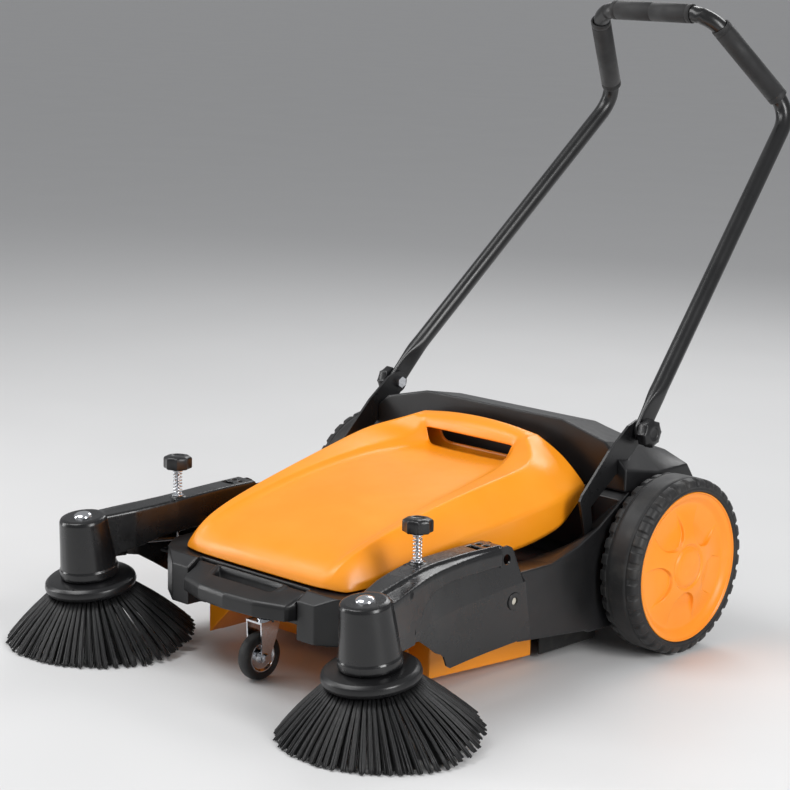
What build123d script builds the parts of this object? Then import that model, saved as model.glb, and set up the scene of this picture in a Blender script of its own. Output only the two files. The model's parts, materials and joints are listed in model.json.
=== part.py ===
"""Walk behind push sweeper: hood and bin, chassis, drive wheels, main roller,
two tilting side brush arms, front caster and folding push handle.

Working frame while drawing: X right, front faces -Y, Z up, wheel axle at y = 0.
Every piece is moved by AXLE_Y on export so the frame origin is the middle of
the bounding box on the floor."""
from build123d import *
import os
from math import cos, sin, radians, atan2, hypot

os.makedirs("parts", exist_ok=True)

# ---- driving dimensions, mm -------------------------------------------------
AXLE_Y = 162.0
WHEEL_R = 143.0
RIM_R = 121.5
WHEEL_X0 = 293.0
WHEEL_X1 = 365.0
AXLE_R = 8.0
BOX_X0 = 228.0
BOX_X1 = 286.0
WALL = 3.0
FIT = 0.05

BELT_X0 = 267.0
BELT_X1 = 277.0
PULLEY_R = 40.0
ROLLER_Y = -130.0
ROLLER_Z = 72.0
ROLLER_R = 70.0
ROLLER_HALF = 214.0
ROLLER_PULLEY_R = 16.0
HINGE_Y = -345.0
HINGE_Z = 140.0

HEAD_X = 313.0
HEAD_TILT = 8.0
HEAD_FOOT = (-656.0, 12.0)
HEAD_TOP_R = 36.5
HEAD_LOW_R = 46.0
BRUSH_R = 147.0
DISC_R = 73.0
TUFTS = 44

KNOB_X = 265.0
KNOB_Y = -529.0
KNOB_R = 23.0

CLAMP_Y = -20.0
CLAMP_Z = 352.0
TUBE_R = 14.0
LEG_LOW = (264.5, 36.0, 418.0)
LEG_BEND = (194.0, 462.0, 836.0)
BAR_CORNER = (121.0, 318.0, 1000.0)
FLAT_X0 = 268.4
FLAT_X1 = 276.4

CASTER_Y = -575.0
CASTER_TRAIL = 18.0
CASTER_R = 37.5


# ---- helpers ----------------------------------------------------------------
def brick(x0, x1, y0, y1, z0, z1):
    body = Box(x1 - x0, y1 - y0, z1 - z0)
    return Pos((x0 + x1) / 2, (y0 + y1) / 2, (z0 + z1) / 2) * body


def rod_x(x0, x1, y, z, r):
    return Pos((x0 + x1) / 2, y, z) * Rot(0, 90, 0) * Cylinder(r, x1 - x0)


def rod_z(x, y, z0, z1, r):
    return Pos(x, y, (z0 + z1) / 2) * Cylinder(r, z1 - z0)


def slab_x(points, x0, x1):
    """Outline in (y, z) made solid between two x planes."""
    face = make_face(Plane.YZ * Polyline(*points, close=True))
    return Pos(x0, 0, 0) * extrude(face, x1 - x0, dir=(1, 0, 0))


def slab_y(points, y0, y1):
    """Outline in (x, z) made solid between two y planes."""
    face = make_face(Plane.XZ * Polyline(*points, close=True))
    return Pos(0, y0, 0) * extrude(face, y1 - y0, dir=(0, 1, 0))


def slab_z(points, z0, z1):
    """Outline in (x, y) made solid between two heights."""
    face = make_face(Polyline(*points, close=True))
    return Pos(0, 0, z0) * extrude(face, z1 - z0, dir=(0, 0, 1))


def turned(profile):
    """Profile of (radius, height) pairs turned about Z."""
    face = make_face(Plane.XZ * Polyline(*profile, close=True))
    return revolve(face, Axis.Z)


def turned_x(profile, y, z):
    """Profile of (radius, x) pairs turned about an X axis through y, z."""
    return Pos(0, y, z) * Rot(0, 90, 0) * turned(profile)


def mirror_pts(points):
    return points + [(-x, y) for x, y in reversed(points)]


def flip(shape):
    return mirror(shape, about=Plane.YZ)


def loft_sections(stations):
    """Ruled loft through closed polygons given as lists of points."""
    faces = [make_face(Polyline(*pts, close=True)) for pts in stations]
    return loft(faces, ruled=True)


def save(name, shape):
    export_step(Pos(0, AXLE_Y, 0) * shape, "parts/" + name + ".step")


def pair(name, shape):
    save(name + "_r", shape)
    save(name + "_l", flip(shape))


def tube_along(points, radius, bend):
    path = FilletPolyline(*points, radius=bend)
    start = Vector(*points[1]) - Vector(*points[0])
    ring = Plane(origin=points[0], z_dir=start) * Circle(radius)
    return sweep(ring, path=path)


def lobed(r, lobes, depth, height):
    """Star knob blank: round disc with scalloped rim, foot at z = 0."""
    body = Pos(0, 0, height / 2) * Cylinder(r, height)
    body = chamfer(body.edges().group_by(Axis.Z)[-1], 2.0)
    step = 360 / lobes
    bites = [
        Rot(0, 0, step * i) * Pos(r + 2.2, 0, height / 2) * Cylinder(depth, height + 2)
        for i in range(lobes)
    ]
    return body - bites


# the tilted frame of a side brush: local z runs up the spindle
HEAD = Pos(HEAD_X, HEAD_FOOT[0], HEAD_FOOT[1]) * Rot(HEAD_TILT, 0, 0)


# ---- drive wheels -----------------------------------------------------------
def tyre():
    x0, x1 = WHEEL_X0, WHEEL_X1
    profile = [
        (RIM_R, x0), (136, x0), (141, x0 + 4), (WHEEL_R, x0 + 9),
        (WHEEL_R, x1 - 9), (141, x1 - 4), (136, x1), (RIM_R, x1),
    ]
    body = turned_x(profile, 0, WHEEL_R)
    notches = []
    for i in range(30):
        turn = Pos(0, 0, WHEEL_R) * Rot(12 * i, 0, 0)
        notches.append(turn * brick(x0 - 1, x0 + 14, -3.5, 3.5, 138, 145))
        half = turn * Rot(6, 0, 0)
        notches.append(half * brick(x1 - 14, x1 + 1, -3.5, 3.5, 138, 145))
    return body - notches


def rim():
    x0, x1 = WHEEL_X0 + 3, WHEEL_X1 - 1
    profile = [
        (RIM_R - 7, x0), (RIM_R, x0), (RIM_R, x1), (RIM_R - 4, x1),
        (RIM_R - 8, x1 - 5), (60, x1 - 2), (34, x1 - 2), (34, x1 - 1),
        (33, x1 - 1), (33, x1 - 8), (AXLE_R + FIT, x1 - 8),
        (AXLE_R + FIT, x0), (24, x0), (24, x1 - 16), (RIM_R - 7, x1 - 16),
    ]
    body = turned_x(profile, 0, WHEEL_R)
    for i in range(5):
        rib = Pos(0, 0, WHEEL_R) * Rot(72 * i, 0, 0)
        body += rib * brick(x0 + 4, x1 - 14, -3, 3, 22, RIM_R - 6)
    return body


def wheel_cap():
    x0 = WHEEL_X1 - 9
    profile = [(0, x0 + 3), (32.6, x0 + 3), (32.6, x0 + 8), (28, x0 + 10.5), (0, x0 + 11)]
    return turned_x(profile, 0, WHEEL_R)


def wheel_pulley():
    x_in, x_out = BELT_X0, WHEEL_X0 + 3
    hole = AXLE_R + FIT
    profile = [
        (hole, x_in), (PULLEY_R + 3, x_in), (PULLEY_R + 3, x_in + 1.5),
        (PULLEY_R, x_in + 2), (PULLEY_R, BELT_X1 - 2), (PULLEY_R + 3, BELT_X1 - 1.5),
        (PULLEY_R + 3, BELT_X1), (20, BELT_X1), (20, x_out), (hole, x_out),
    ]
    return turned_x(profile, 0, WHEEL_R)


pair("tyre", tyre())
pair("rim", rim())
pair("wheel_cap", wheel_cap())
pair("wheel_pulley", wheel_pulley())
AXLE_HALF = WHEEL_X1 - 9.4
axle = rod_x(-AXLE_HALF, AXLE_HALF, 0, WHEEL_R, AXLE_R)
save("axle", axle)


# ---- main roller brush ------------------------------------------------------
def roller_core():
    core = rod_x(-ROLLER_HALF, ROLLER_HALF, ROLLER_Y, ROLLER_Z, 30)
    shaft = rod_x(-BELT_X1 - 2, BELT_X1 + 2, ROLLER_Y, ROLLER_Z, 7)
    core = core + shaft
    for side in (1, -1):
        lo, hi = sorted((side * BELT_X0, side * BELT_X1))
        core += rod_x(lo, hi, ROLLER_Y, ROLLER_Z, ROLLER_PULLEY_R)
    return core


def roller_bristles():
    """Six straight brush strips on the core."""
    half = ROLLER_HALF - 4
    strips = None
    for i in range(6):
        turn = Pos(0, ROLLER_Y, ROLLER_Z) * Rot(60 * i, 0, 0)
        strip = turn * brick(-half, half, -9, 9, 28, ROLLER_R)
        strips = strip if strips is None else strips + strip
    ring = rod_x(-half, half, ROLLER_Y, ROLLER_Z, 40)
    hole = rod_x(-half - 1, half + 1, ROLLER_Y, ROLLER_Z, 30)
    return strips + ring - hole


save("roller_core", roller_core())
save("roller_bristles", roller_bristles())


# ---- drive belt, cross shaft and arm shaft ----------------------------------
CROSS_R = 15.0
GEAR_X0 = 254.6
GEAR_X1 = 258.6
GEAR_R = 30.0
PINION_R = 12.0


def hull_around(circles, x0, x1):
    """Solid belt loop hull round circles of (y, z, r), given in order."""
    n = len(circles)
    points = []
    for i in range(n):
        y0, z0, r0 = circles[i]
        y1, z1, r1 = circles[(i + 1) % n]
        dist = hypot(y1 - y0, z1 - z0)
        base = atan2(z1 - z0, y1 - y0)
        lean = atan2(r0 - r1, (dist**2 - (r0 - r1) ** 2) ** 0.5)
        ang = base - radians(90) + lean
        points.append((y0 + r0 * cos(ang), z0 + r0 * sin(ang)))
        points.append((y1 + r1 * cos(ang), z1 + r1 * sin(ang)))
    body = slab_x(points, x0, x1)
    for y, z, r in circles:
        body += rod_x(x0, x1, y, z, r)
    return body


def drive_belt():
    inner = [
        (HINGE_Y, HINGE_Z, CROSS_R + 0.4),
        (ROLLER_Y, ROLLER_Z, ROLLER_PULLEY_R + 0.4),
        (0, WHEEL_R, PULLEY_R + 0.4),
    ]
    outer = [(y, z, r + 2.2) for y, z, r in inner]
    x0, x1 = BELT_X0 + 2.6, BELT_X1 - 2.6
    return hull_around(outer, x0, x1) - hull_around(inner, x0 - 1, x1 + 1)


def cross_shaft():
    """Spins on the arm hinge line: belt pulley, shaft and crown gear."""
    shaft = rod_x(GEAR_X0 - 6, WHEEL_X0 + 1, HINGE_Y, HINGE_Z, 6)
    shaft += rod_x(BELT_X0, BELT_X1, HINGE_Y, HINGE_Z, CROSS_R)
    shaft += rod_x(GEAR_X0, GEAR_X1, HINGE_Y, HINGE_Z, GEAR_R)
    return shaft


pair("drive_belt", drive_belt())
pair("cross_shaft", cross_shaft())

HEAD_GEAR_Z = 128.0
HEAD_GEAR_T = 5.0
GEAR_HEAD_R = 24.0
SHAFT_A = Vector(GEAR_X1 + PINION_R + 0.8, -371.5, HINGE_Z)
tip = HEAD * Pos(0, 17, HEAD_GEAR_Z + HEAD_GEAR_T + PINION_R + 2.2)
SHAFT_B = tip.position


def along(a, b, r):
    run = b - a
    ring = Plane(origin=a, z_dir=run) * Circle(r)
    return extrude(ring, run.length, dir=tuple(run.normalized()))


def arm_shaft():
    run = (SHAFT_B - SHAFT_A).normalized()
    rod = along(SHAFT_A, SHAFT_B, 4)
    rear = along(SHAFT_A, SHAFT_A + run * 9, PINION_R)
    front = along(SHAFT_B - run * 9, SHAFT_B, PINION_R)
    return rod + rear + front


pair("arm_shaft", arm_shaft())


# ---- side brushes -----------------------------------------------------------
def brush_disc():
    profile = [
        (0, 78), (58, 78), (60, 82), (69, 84), (72.5, 88), (DISC_R, 92),
        (71, 98), (64, 102), (50, 103), (38, 103), (38, 106), (14, 106),
        (14, HEAD_GEAR_Z), (GEAR_HEAD_R, HEAD_GEAR_Z),
        (GEAR_HEAD_R, HEAD_GEAR_Z + HEAD_GEAR_T), (8, HEAD_GEAR_Z + HEAD_GEAR_T),
        (8, 182), (0, 182),
    ]
    return HEAD * turned(profile)


def brush_tufts():
    """Flared skirt of tufts: a conical shell cut into separate fingers."""
    shell = [
        (48, 77.6), (57.5, 77.6), (BRUSH_R, 1), (BRUSH_R - 9, -5), (44, 66),
    ]
    body = turned(shell)
    step = 360 / TUFTS
    cuts = []
    for i in range(TUFTS):
        cut = Rot(0, 0, step * i) * Pos(115, 0, 30)
        cuts.append(cut * Box(90, 3.4, 90))
    body = HEAD * (body - cuts)
    floor = brick(0, 600, -900, -400, -60, 0.4)
    return body - floor


pair("brush_disc", brush_disc())
pair("brush_tufts", brush_tufts())


# ---- side brush arms --------------------------------------------------------
ARM_IN = 248.6
ARM_OUT = 295.5


def arm_plan(inset):
    k = inset
    return [
        (ARM_IN + k, -290), (ARM_IN + k, -545), (264 + k, -610), (286 + k, -668),
        (345 - k, -668), (327 - k, -605), (308 - k, -535), (297 - k, -455),
        (ARM_OUT - k, -400), (ARM_OUT - k, -290),
    ]


ARM_TOP = [
    (-700, 208), (-687, 210.5), (-600, 221), (-527, 228), (-440, 231),
    (-378, 231), (-366, 226), (-352, 226),
]


def arm_shell():
    # closed envelope
    side = ARM_TOP + [
        (-340, 218), (-326, 180), (-322, 166), (-300, 80), (-303, 74),
        (-488, 66), (-496, 70), (-504, 88), (-514, 92), (-522, 96),
        (-575, 129), (-700, 129),
    ]
    body = slab_x(side, 200, 400) & slab_z(arm_plan(0), 0, 300)
    # hollow, open below
    roof = [(y, z - WALL) for y, z in ARM_TOP[:-3]]
    inner = [(-700, 40)] + roof + [(-372, 223), (-334, 214), (-318, 160), (-290, 40)]
    cavity = slab_x(inner, 200, 400) & slab_z(arm_plan(WALL), 0, 300)
    # the inner cheek is shallow ahead of the hinge lug
    shallow = slab_x(
        [(-385, 104), (-385, 178), (-560, 176), (-640, 158), (-640, 40),
         (-290, 40), (-290, 104)], 200, ARM_OUT - 6)
    rear_gap = brick(200, ARM_OUT - WALL, -334, -280, 0, 300)
    body = body - cavity - shallow - rear_gap
    # brush head
    cone = turned([(0, 104.5), (HEAD_LOW_R - 2, 104.5), (HEAD_LOW_R, 112),
                   (HEAD_TOP_R + 1, 196), (HEAD_TOP_R - 2, 200), (0, 200)])
    bore = turned([(0, 90), (HEAD_LOW_R - 5, 90), (HEAD_LOW_R - 4, 112),
                   (HEAD_TOP_R - 3, 196), (0, 196)])
    throat = HEAD * brick(-14, 14, 0, 60, 125, 160)
    body = body + HEAD * cone
    body = body - HEAD * bore - throat
    # spindle bush under the head roof
    bush = turned([(8 + FIT, 178), (15, 178), (15, 196.5), (8 + FIT, 196.5)])
    body += HEAD * bush
    # hinge bores on the cross shaft line
    body -= rod_x(200, 310, HINGE_Y, HINGE_Z, 6 + FIT)
    # ear eye
    eye = Pos(0, -360, 207) * Rot(0, 90, 0) * Cylinder(7, 800)
    ear_cut = eye & brick(ARM_OUT - 6, ARM_OUT + 5, -400, -300, 180, 240)
    body -= ear_cut
    # screw passage and bolt seat
    body -= rod_z(KNOB_X, KNOB_Y, 150, 260, 5.6)
    body -= HEAD * Pos(0, 0, 198) * Cylinder(5, 12)
    return body


ARM = arm_shell()
pair("arm", ARM)

bolt_profile = [
    (0, 184), (4.95, 184), (4.95, 200.1), (9.5, 200.1), (9.5, 204),
    (7.5, 207.5), (3, 209), (0, 209.2),
]
pair("head_bolt", HEAD * turned(bolt_profile))


# ---- height adjuster --------------------------------------------------------
knob = Pos(KNOB_X, KNOB_Y, 270) * lobed(KNOB_R, 8, 5.4, 21)
knob -= rod_z(KNOB_X, KNOB_Y, 260, 284, 4)
screw = rod_z(KNOB_X, KNOB_Y, 146, 284, 4)
washer = turned([(4.3, 0), (8.5, 0), (8.5, 1.5), (4.3, 1.5)])
pair("adjust_knob", knob)
pair("adjust_screw", screw)


def spring():
    coil_r = 6.6
    path = Helix(pitch=5.8, height=34, radius=coil_r)
    start = path @ 0
    ring = Plane(origin=start, z_dir=path % 0) * Circle(0.9)
    coil = sweep(ring, path=path, is_frenet=True)
    return Pos(KNOB_X, KNOB_Y, 232.2) * coil


pair("adjust_spring", spring() + Pos(KNOB_X, KNOB_Y, 229.6) * washer)


# ---- chassis ----------------------------------------------------------------
BOX_TOP = [
    (-322, 178), (-244, 178), (-182, 195), (-135, 216), (-84, 248), (-62, 262),
    (-40, 240),
]
BOX_LOW = [(100, 240), (112, 228), (112, 62), (95, 48), (-150, 48), (-158, 52), (-322, 68)]
NOSE_R = 21.0


def nose_yz(r, x0, x1):
    """Rounded front nose of the side box that carries the cross shaft."""
    body = rod_x(x0, x1, HINGE_Y, HINGE_Z, r)
    wedge = slab_x([
        (HINGE_Y, HINGE_Z + r), (-318, HINGE_Z + r + 5), (-318, HINGE_Z - r - 11),
        (HINGE_Y - 6, HINGE_Z - r + 1),
    ], x0, x1)
    return body + wedge


def side_box():
    outer = slab_x(BOX_TOP + BOX_LOW, BOX_X0, BOX_X1)
    # the roof falls toward the hood
    roof_cut = loft_sections([
        [(BOX_X0 - 1, -323, 172), (BOX_X1 - 4, -323, 179), (BOX_X1 - 4, -323, 400),
         (BOX_X0 - 1, -323, 400)],
        [(BOX_X0 - 1, -244, 172), (BOX_X1 - 4, -244, 179), (BOX_X1 - 4, -244, 400),
         (BOX_X0 - 1, -244, 400)],
        [(BOX_X0 - 1, -135, 176), (BOX_X1 - 4, -135, 216), (BOX_X1 - 4, -135, 400),
         (BOX_X0 - 1, -135, 400)],
        [(BOX_X0 - 1, -80, 200), (BOX_X1 - 4, -80, 250), (BOX_X1 - 4, -80, 400),
         (BOX_X0 - 1, -80, 400)],
    ])
    outer = outer - roof_cut
    cavity = slab_x(
        [(-319, 169), (-130, 169), (-80, 195), (97, 195), (106, 185), (106, 68),
         (92, 52), (-148, 52), (-158, 56), (-319, 71)],
        BOX_X0 + WALL, BOX_X1 - WALL)
    body = outer - cavity
    body += nose_yz(NOSE_R, BELT_X0 - 4, BELT_X1 + 4)
    body -= nose_yz(NOSE_R - 2.4, BELT_X0 - 1.5, BELT_X1 + 1.5)
    body -= brick(BELT_X0 - 1.5, BELT_X1 + 1.5, -326, -316, HINGE_Z - 30, HINGE_Z + 23)
    # slot for the crown gear, and head room over the belt
    body -= brick(GEAR_X0 - 1, GEAR_X1 + 1, -326, -312, HINGE_Z - 32, HINGE_Z + 32)
    body -= slab_x([(-319, 168), (-319, 172), (-244, 173), (-182, 186), (-135, 196),
                    (-80, 226), (95, 226), (95, 168)], 262, BOX_X1 - WALL)
    # running holes: sleeve, roller shaft, cross shaft
    body -= rod_x(BOX_X1 - 5, BOX_X1 + 2, 0, WHEEL_R, 20.6)
    body -= rod_x(BOX_X0 - 2, BOX_X1 - 4, 0, WHEEL_R, AXLE_R)
    body -= rod_x(BOX_X0 - 2, BOX_X0 + 6, ROLLER_Y, ROLLER_Z, 7 + FIT)
    body -= rod_x(BOX_X0 - 20, BOX_X1 + 20, HINGE_Y, HINGE_Z, 6 + FIT)
    return body


def bracket():
    """Flat bar from the handle clamp down into the side box roof."""
    outline = [
        (-8, 366), (-2, 350), (-10, 338), (-30, 320), (-56, 302), (-134, 246),
        (-120, 160), (-136, 160), (-158, 246), (-162, 258), (-156, 268),
        (-92, 330), (-46, 364), (-24, 371),
    ]
    bar = slab_x(outline, 263, 268)
    bar += rod_x(263, 268, CLAMP_Y, CLAMP_Z, 19)
    bar = bar - rod_x(250, 280, CLAMP_Y, CLAMP_Z, 5)
    return bar


OPEN_FRONT = -540.0
OPEN_STEP = -468.0
OPEN_REAR = -208.0


def chassis_tub():
    right = side_box()
    body = right + flip(right)
    # front deck ring round the bin opening
    deck = slab_z(mirror_pts([
        (121.5, -604), (121.5, -632), (158, -632), (206, -600), (236, -560), (245, -500),
        (245, -318),
    ]), 160, 171)
    hole = slab_z(mirror_pts([
        (182, OPEN_FRONT), (182, OPEN_STEP), (226, OPEN_STEP), (226, -300),
    ]), 150, 180)
    body = body + (deck - hole)
    # skirts and corner blocks
    for s in (1, -1):
        lo, hi = sorted((s * 226, s * 245))
        skirt = brick(lo, hi, -470, -318, 96, 161)
        lo, hi = sorted((s * 229, s * 242))
        hollow = brick(lo, hi, -466, -322, 90, 157)
        body += skirt - hollow
        plan = [(s * x, y) for x, y in
                [(112, -604), (121.5, -604), (121.5, -632), (158, -632), (206, -600),
                 (228, -572), (236, -540), (236, -468), (182, -468), (182, -545), (112, -548)]]
        if s < 0:
            plan = plan[::-1]
        block = slab_z(plan, 98, 162)
        inner = [(s * x, y) for x, y in
                 [(116, -600), (125.5, -600), (125.5, -628), (156.5, -628), (203, -597),
                  (225, -570), (232, -538), (232, -472), (186, -472), (186, -549),
                  (116, -552)]]
        if s < 0:
            inner = inner[::-1]
        body += block - slab_z(inner, 90, 158)
    # sloped top edge of the corner blocks
    body -= slab_x([(-640, 156), (-632, 158), (-612, 171.5), (-612, 200), (-640, 200)], -300, 300)
    # caster shelf between the blocks
    body += brick(-114, 114, -600, -545, 108, 116)
    body += brick(-114, 114, -600, -596, 116, 162)
    body += brick(-114, 114, -549, -545, 116, 162)
    # rest tabs under the adjuster screws
    for s in (1, -1):
        lo, hi = sorted((s * 232, s * 284))
        body += brick(lo, hi, -549, -509, 136, 142)
        lo, hi = sorted((s * 232, s * 244))
        body += brick(lo, hi, -549, -509, 120, 142)
    # cross members
    body += brick(-BOX_X0 - 1, BOX_X0 + 1, 92, 112, 62, 200)
    body += brick(-BOX_X0 - 1, BOX_X0 + 1, -76, -72.4, 156, 262)
    body -= rod_x(-300, 300, 0, WHEEL_R, AXLE_R)
    return body


TUNNEL_R = 77.0


def brush_tunnel():
    """Arched cover over the roller, open below."""
    shell = rod_x(-226, 226, ROLLER_Y, ROLLER_Z, TUNNEL_R + WALL)
    shell -= rod_x(-230, 230, ROLLER_Y, ROLLER_Z, TUNNEL_R)
    shell -= brick(-240, 240, -300, 0, -50, ROLLER_Z + 20)
    mouth = brick(-240, 240, -300, ROLLER_Y - 40, -50, 120)
    shell -= mouth
    for side in (1, -1):
        lo, hi = sorted((side * 224, side * 227.6))
        cheek = rod_x(lo, hi, ROLLER_Y, ROLLER_Z, TUNNEL_R + WALL)
        cheek -= brick(-240, 240, -300, 0, -50, ROLLER_Z - 30)
        cheek -= rod_x(-240, 240, ROLLER_Y, ROLLER_Z, 9)
        shell += cheek
    return shell


BR = bracket()
TUB = chassis_tub()
TUB = TUB - BR - flip(BR)
save("chassis_tub", TUB)
pair("handle_bracket", BR)
save("brush_tunnel", brush_tunnel())


def rear_cover():
    """Domed rear fairing between the wheels."""
    def section(x, drop):
        top = [(-72, 361 - drop), (15, 345 - drop), (90, 310 - drop * 0.4),
               (130, 230), (132, 90)]
        low = [(112.4, 90), (112.4, 240.4), (-40, 240.4), (-62, 262.4), (-72, 262.4)]
        return [(x, y, z) for y, z in top + low]

    def inner(x, drop):
        top = [(-68, 357 - drop), (13, 341 - drop), (86, 306 - drop * 0.4),
               (108, 252), (108, 240.4), (-40, 240.4), (-62, 262.4), (-68, 262.4)]
        return [(x, y, z) for y, z in top]

    edge = BOX_X1
    drops = [62, 22, 0, 0, 22, 62]
    spans = zip([-edge, -240, -150, 150, 240, edge], drops)
    solid = loft_sections([section(x, d) for x, d in spans])
    edge -= 4
    spans = zip([-edge, -240, -150, 150, 240, edge], drops)
    hollow = loft_sections([inner(x, d) for x, d in spans])
    skirt = slab_x([(116, 80), (116, 236), (126, 230), (128, 80)], -edge, edge)
    return solid - hollow - skirt - BR - flip(BR)


save("rear_cover", rear_cover())


def bumper():
    outline = [(120, -606.4), (120, -636), (112, -648), (60, -664), (0, -669),
               (-60, -664), (-112, -648), (-120, -636), (-120, -606.4)]
    plate = slab_z(outline, 126, 175)
    top_cut = slab_x([(-700, 146), (-669, 150), (-560, 172), (-560, 300), (-700, 300)], -300, 300)
    body = plate - top_cut
    body -= slab_z([(116, -606), (116, -634), (109, -644.5), (58, -660), (0, -665),
                    (-58, -660), (-109, -644.5), (-116, -634), (-116, -606)], 120, 148)
    slot = slab_z([(72, -611), (66, -632), (-66, -632), (-72, -611)], 100, 200)
    rim_out = slab_z([(76, -607), (69, -636), (-69, -636), (-76, -607)], 126, 175)
    body = body + (rim_out - top_cut)
    return body - slot


save("front_bumper", bumper())


def rear_flap():
    return brick(-222, 222, 112.2, 116, 8, 88)


save("rear_flap", rear_flap())
pair("side_flap", brick(224.2, 227.4, -200, -60, 8, ROLLER_Z - 30))

pair("rest_pad", rod_z(KNOB_X, KNOB_Y, 142.0, 145.5, 9))


# ---- container --------------------------------------------------------------
DISH_LIP = 12.0


def hood_side(y, low, crease, ridge, inner, mid):
    """Hood section at y: (x, z) of each crease, then the height of the dished top."""
    dish = (inner[0] - DISH_LIP, mid)
    half = [low, crease, ridge, inner, dish]
    right = [(x, y, z) for x, z in half]
    left = [(-x, y, z) for x, z in reversed(half)]
    return right + [(0, y, mid)] + left


HOOD = [
    (-598, (150, 176), (152, 178), (146, 182), (140, 183), 184),
    (-590, (174, 175), (176, 180), (152, 199), (142, 200), 200),
    (-561, (187, 175), (188, 184), (161, 219), (148, 218), 214),
    (-500, (195, 177), (195, 195), (163, 241), (148, 239), 232),
    (-375, (205, 181), (207, 222), (167, 271), (146, 268), 262),
    (-255, (222, 190), (219, 241), (178, 293), (140, 287), 276),
    (-178, (227, 210), (228, 254), (187, 307), (122, 297), 280),
    (-134, (225, 228), (231, 259), (170, 313), (104, 306), 287),
]
HOOD_BACK = [
    (-134, (225, 228), (231, 259), (186, 308), (124, 330), 338),
    (-98, (221, 248), (228, 268), (186, 308), (121, 335), 345),
]


def hood():
    outer = loft_sections([hood_side(*s) for s in HOOD])
    back = loft_sections([hood_side(*s) for s in HOOD_BACK])

    def shrink(s, dy):
        y, low, crease, ridge, inn, mid = s
        return hood_side(
            y + dy, (low[0] - WALL, low[1]), (crease[0] - WALL, crease[1]),
            (ridge[0] - WALL, ridge[1] - WALL), (inn[0], inn[1] - WALL), mid - WALL)

    hollow = loft_sections([shrink(s, 0) for s in HOOD[1:]])
    hollow_back = loft_sections([shrink(HOOD_BACK[0], 0), shrink(HOOD_BACK[1], -WALL)])
    shell = outer + back
    shell = shell - hollow - hollow_back
    # hand slot under the grip bar, open to the rear
    slot = slab_x([(-140, 289.5), (-140, 315), (-94, 317), (-94, 289.5)], -86, 86)
    shell -= slot
    return shell


def bin_tub():
    """Tub with a nose hollowed out below for the caster, open at the rear."""
    plan = mirror_pts([
        (178, -536), (178, -450), (222, -450), (222, OPEN_REAR - 6),
    ])
    body = slab_z(plan, 0, 174)
    sole = slab_x([(-600, 26), (-540, 23), (-440, 21), (-212, 8.5), (-150, 8.5),
                   (-150, -5), (-600, -5)], -300, 300)
    # hollow under the nose: a sloped back and two sloped sides
    arch = slab_x([(-600, 171.7), (-560, 134), (-440, 21), (-440, -5), (-600, -5)], -300, 300)
    arch &= slab_y([(-178, 22), (-105, 95), (-105, 180), (105, 180), (105, 95), (178, 22),
                    (178, -5), (-178, -5)], -600, -430)
    inner_plan = mirror_pts([
        (175, -533), (175, -447), (219, -447), (219, OPEN_REAR - 6),
    ])
    space = slab_z(inner_plan, 0, 200) & slab_x(
        [(-600, 29.5), (-540, 26.5), (-440, 24.5), (-212, 12), (-212, 200), (-600, 200)],
        -300, 300)
    lining = slab_x([(-600, 176.1), (-560, 138.4), (-438, 24.2), (-438, -5), (-600, -5)],
                    -300, 300)
    lining &= slab_y([(-180.3, 24.3), (-107.3, 97.3), (-107.3, 190), (107.3, 190),
                      (107.3, 97.3), (180.3, 24.3), (180.3, -5), (-180.3, -5)], -600, -430)
    body -= space - lining
    body -= arch
    body -= sole
    # recess that clears the swivelling caster
    wall = (brick(-81, 81, -536, -500, 30, 110) & slab_z(plan, 0, 174)) - arch
    body += wall
    body -= brick(-78, 78, -560, -503, -5, 107)
    # the side walls step down where the hood rises
    body -= slab_x([(-330, 175), (-270, 150), (-150, 150), (-150, 260), (-330, 260)], -300, 300)
    return body


save("hood", hood())
save("bin", bin_tub())


# ---- handle -----------------------------------------------------------------
def handle_tube():
    mid = Vector(*LEG_LOW)
    path = [LEG_LOW, LEG_BEND, BAR_CORNER, (0.3, BAR_CORNER[1], BAR_CORNER[2])]
    outer = tube_along(path, TUBE_R, 30)
    inner = tube_along(path, TUBE_R - 2, 30)
    tube = outer - inner
    # flattened lower end carried by the clamp
    flat = rod_x(FLAT_X0, FLAT_X1, CLAMP_Y, CLAMP_Z, 17)
    run = (LEG_LOW[1] - CLAMP_Y, LEG_LOW[2] - CLAMP_Z)
    size = hypot(*run)
    uy, uz = run[0] / size, run[1] / size
    ny, nz = -uz, uy
    end = (CLAMP_Y + uy * (size - 34), CLAMP_Z + uz * (size - 34))
    plate = slab_x([
        (CLAMP_Y + ny * 17, CLAMP_Z + nz * 17), (CLAMP_Y - ny * 17, CLAMP_Z - nz * 17),
        (end[0] - ny * 17, end[1] - nz * 17), (end[0] + ny * 17, end[1] + nz * 17),
    ], FLAT_X0, FLAT_X1)
    # taper from the flat to the round tube
    base = Plane(origin=((FLAT_X0 + FLAT_X1) / 2, end[0], end[1]),
                 x_dir=(1, 0, 0), z_dir=(0, uy, uz))
    leg = (Vector(*LEG_BEND) - mid).normalized()
    top = Plane(origin=mid, x_dir=(1, 0, 0), z_dir=leg)
    taper = loft([base * RectangleRounded(FLAT_X1 - FLAT_X0, 34, 3.9), top * Circle(TUBE_R)])
    body = tube + flat + plate + taper
    body -= rod_x(200, 300, CLAMP_Y, CLAMP_Z, 5)
    return body


def sleeve(a, b, r, bore):
    return along(a, b, r) - along(a, b, bore)


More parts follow.
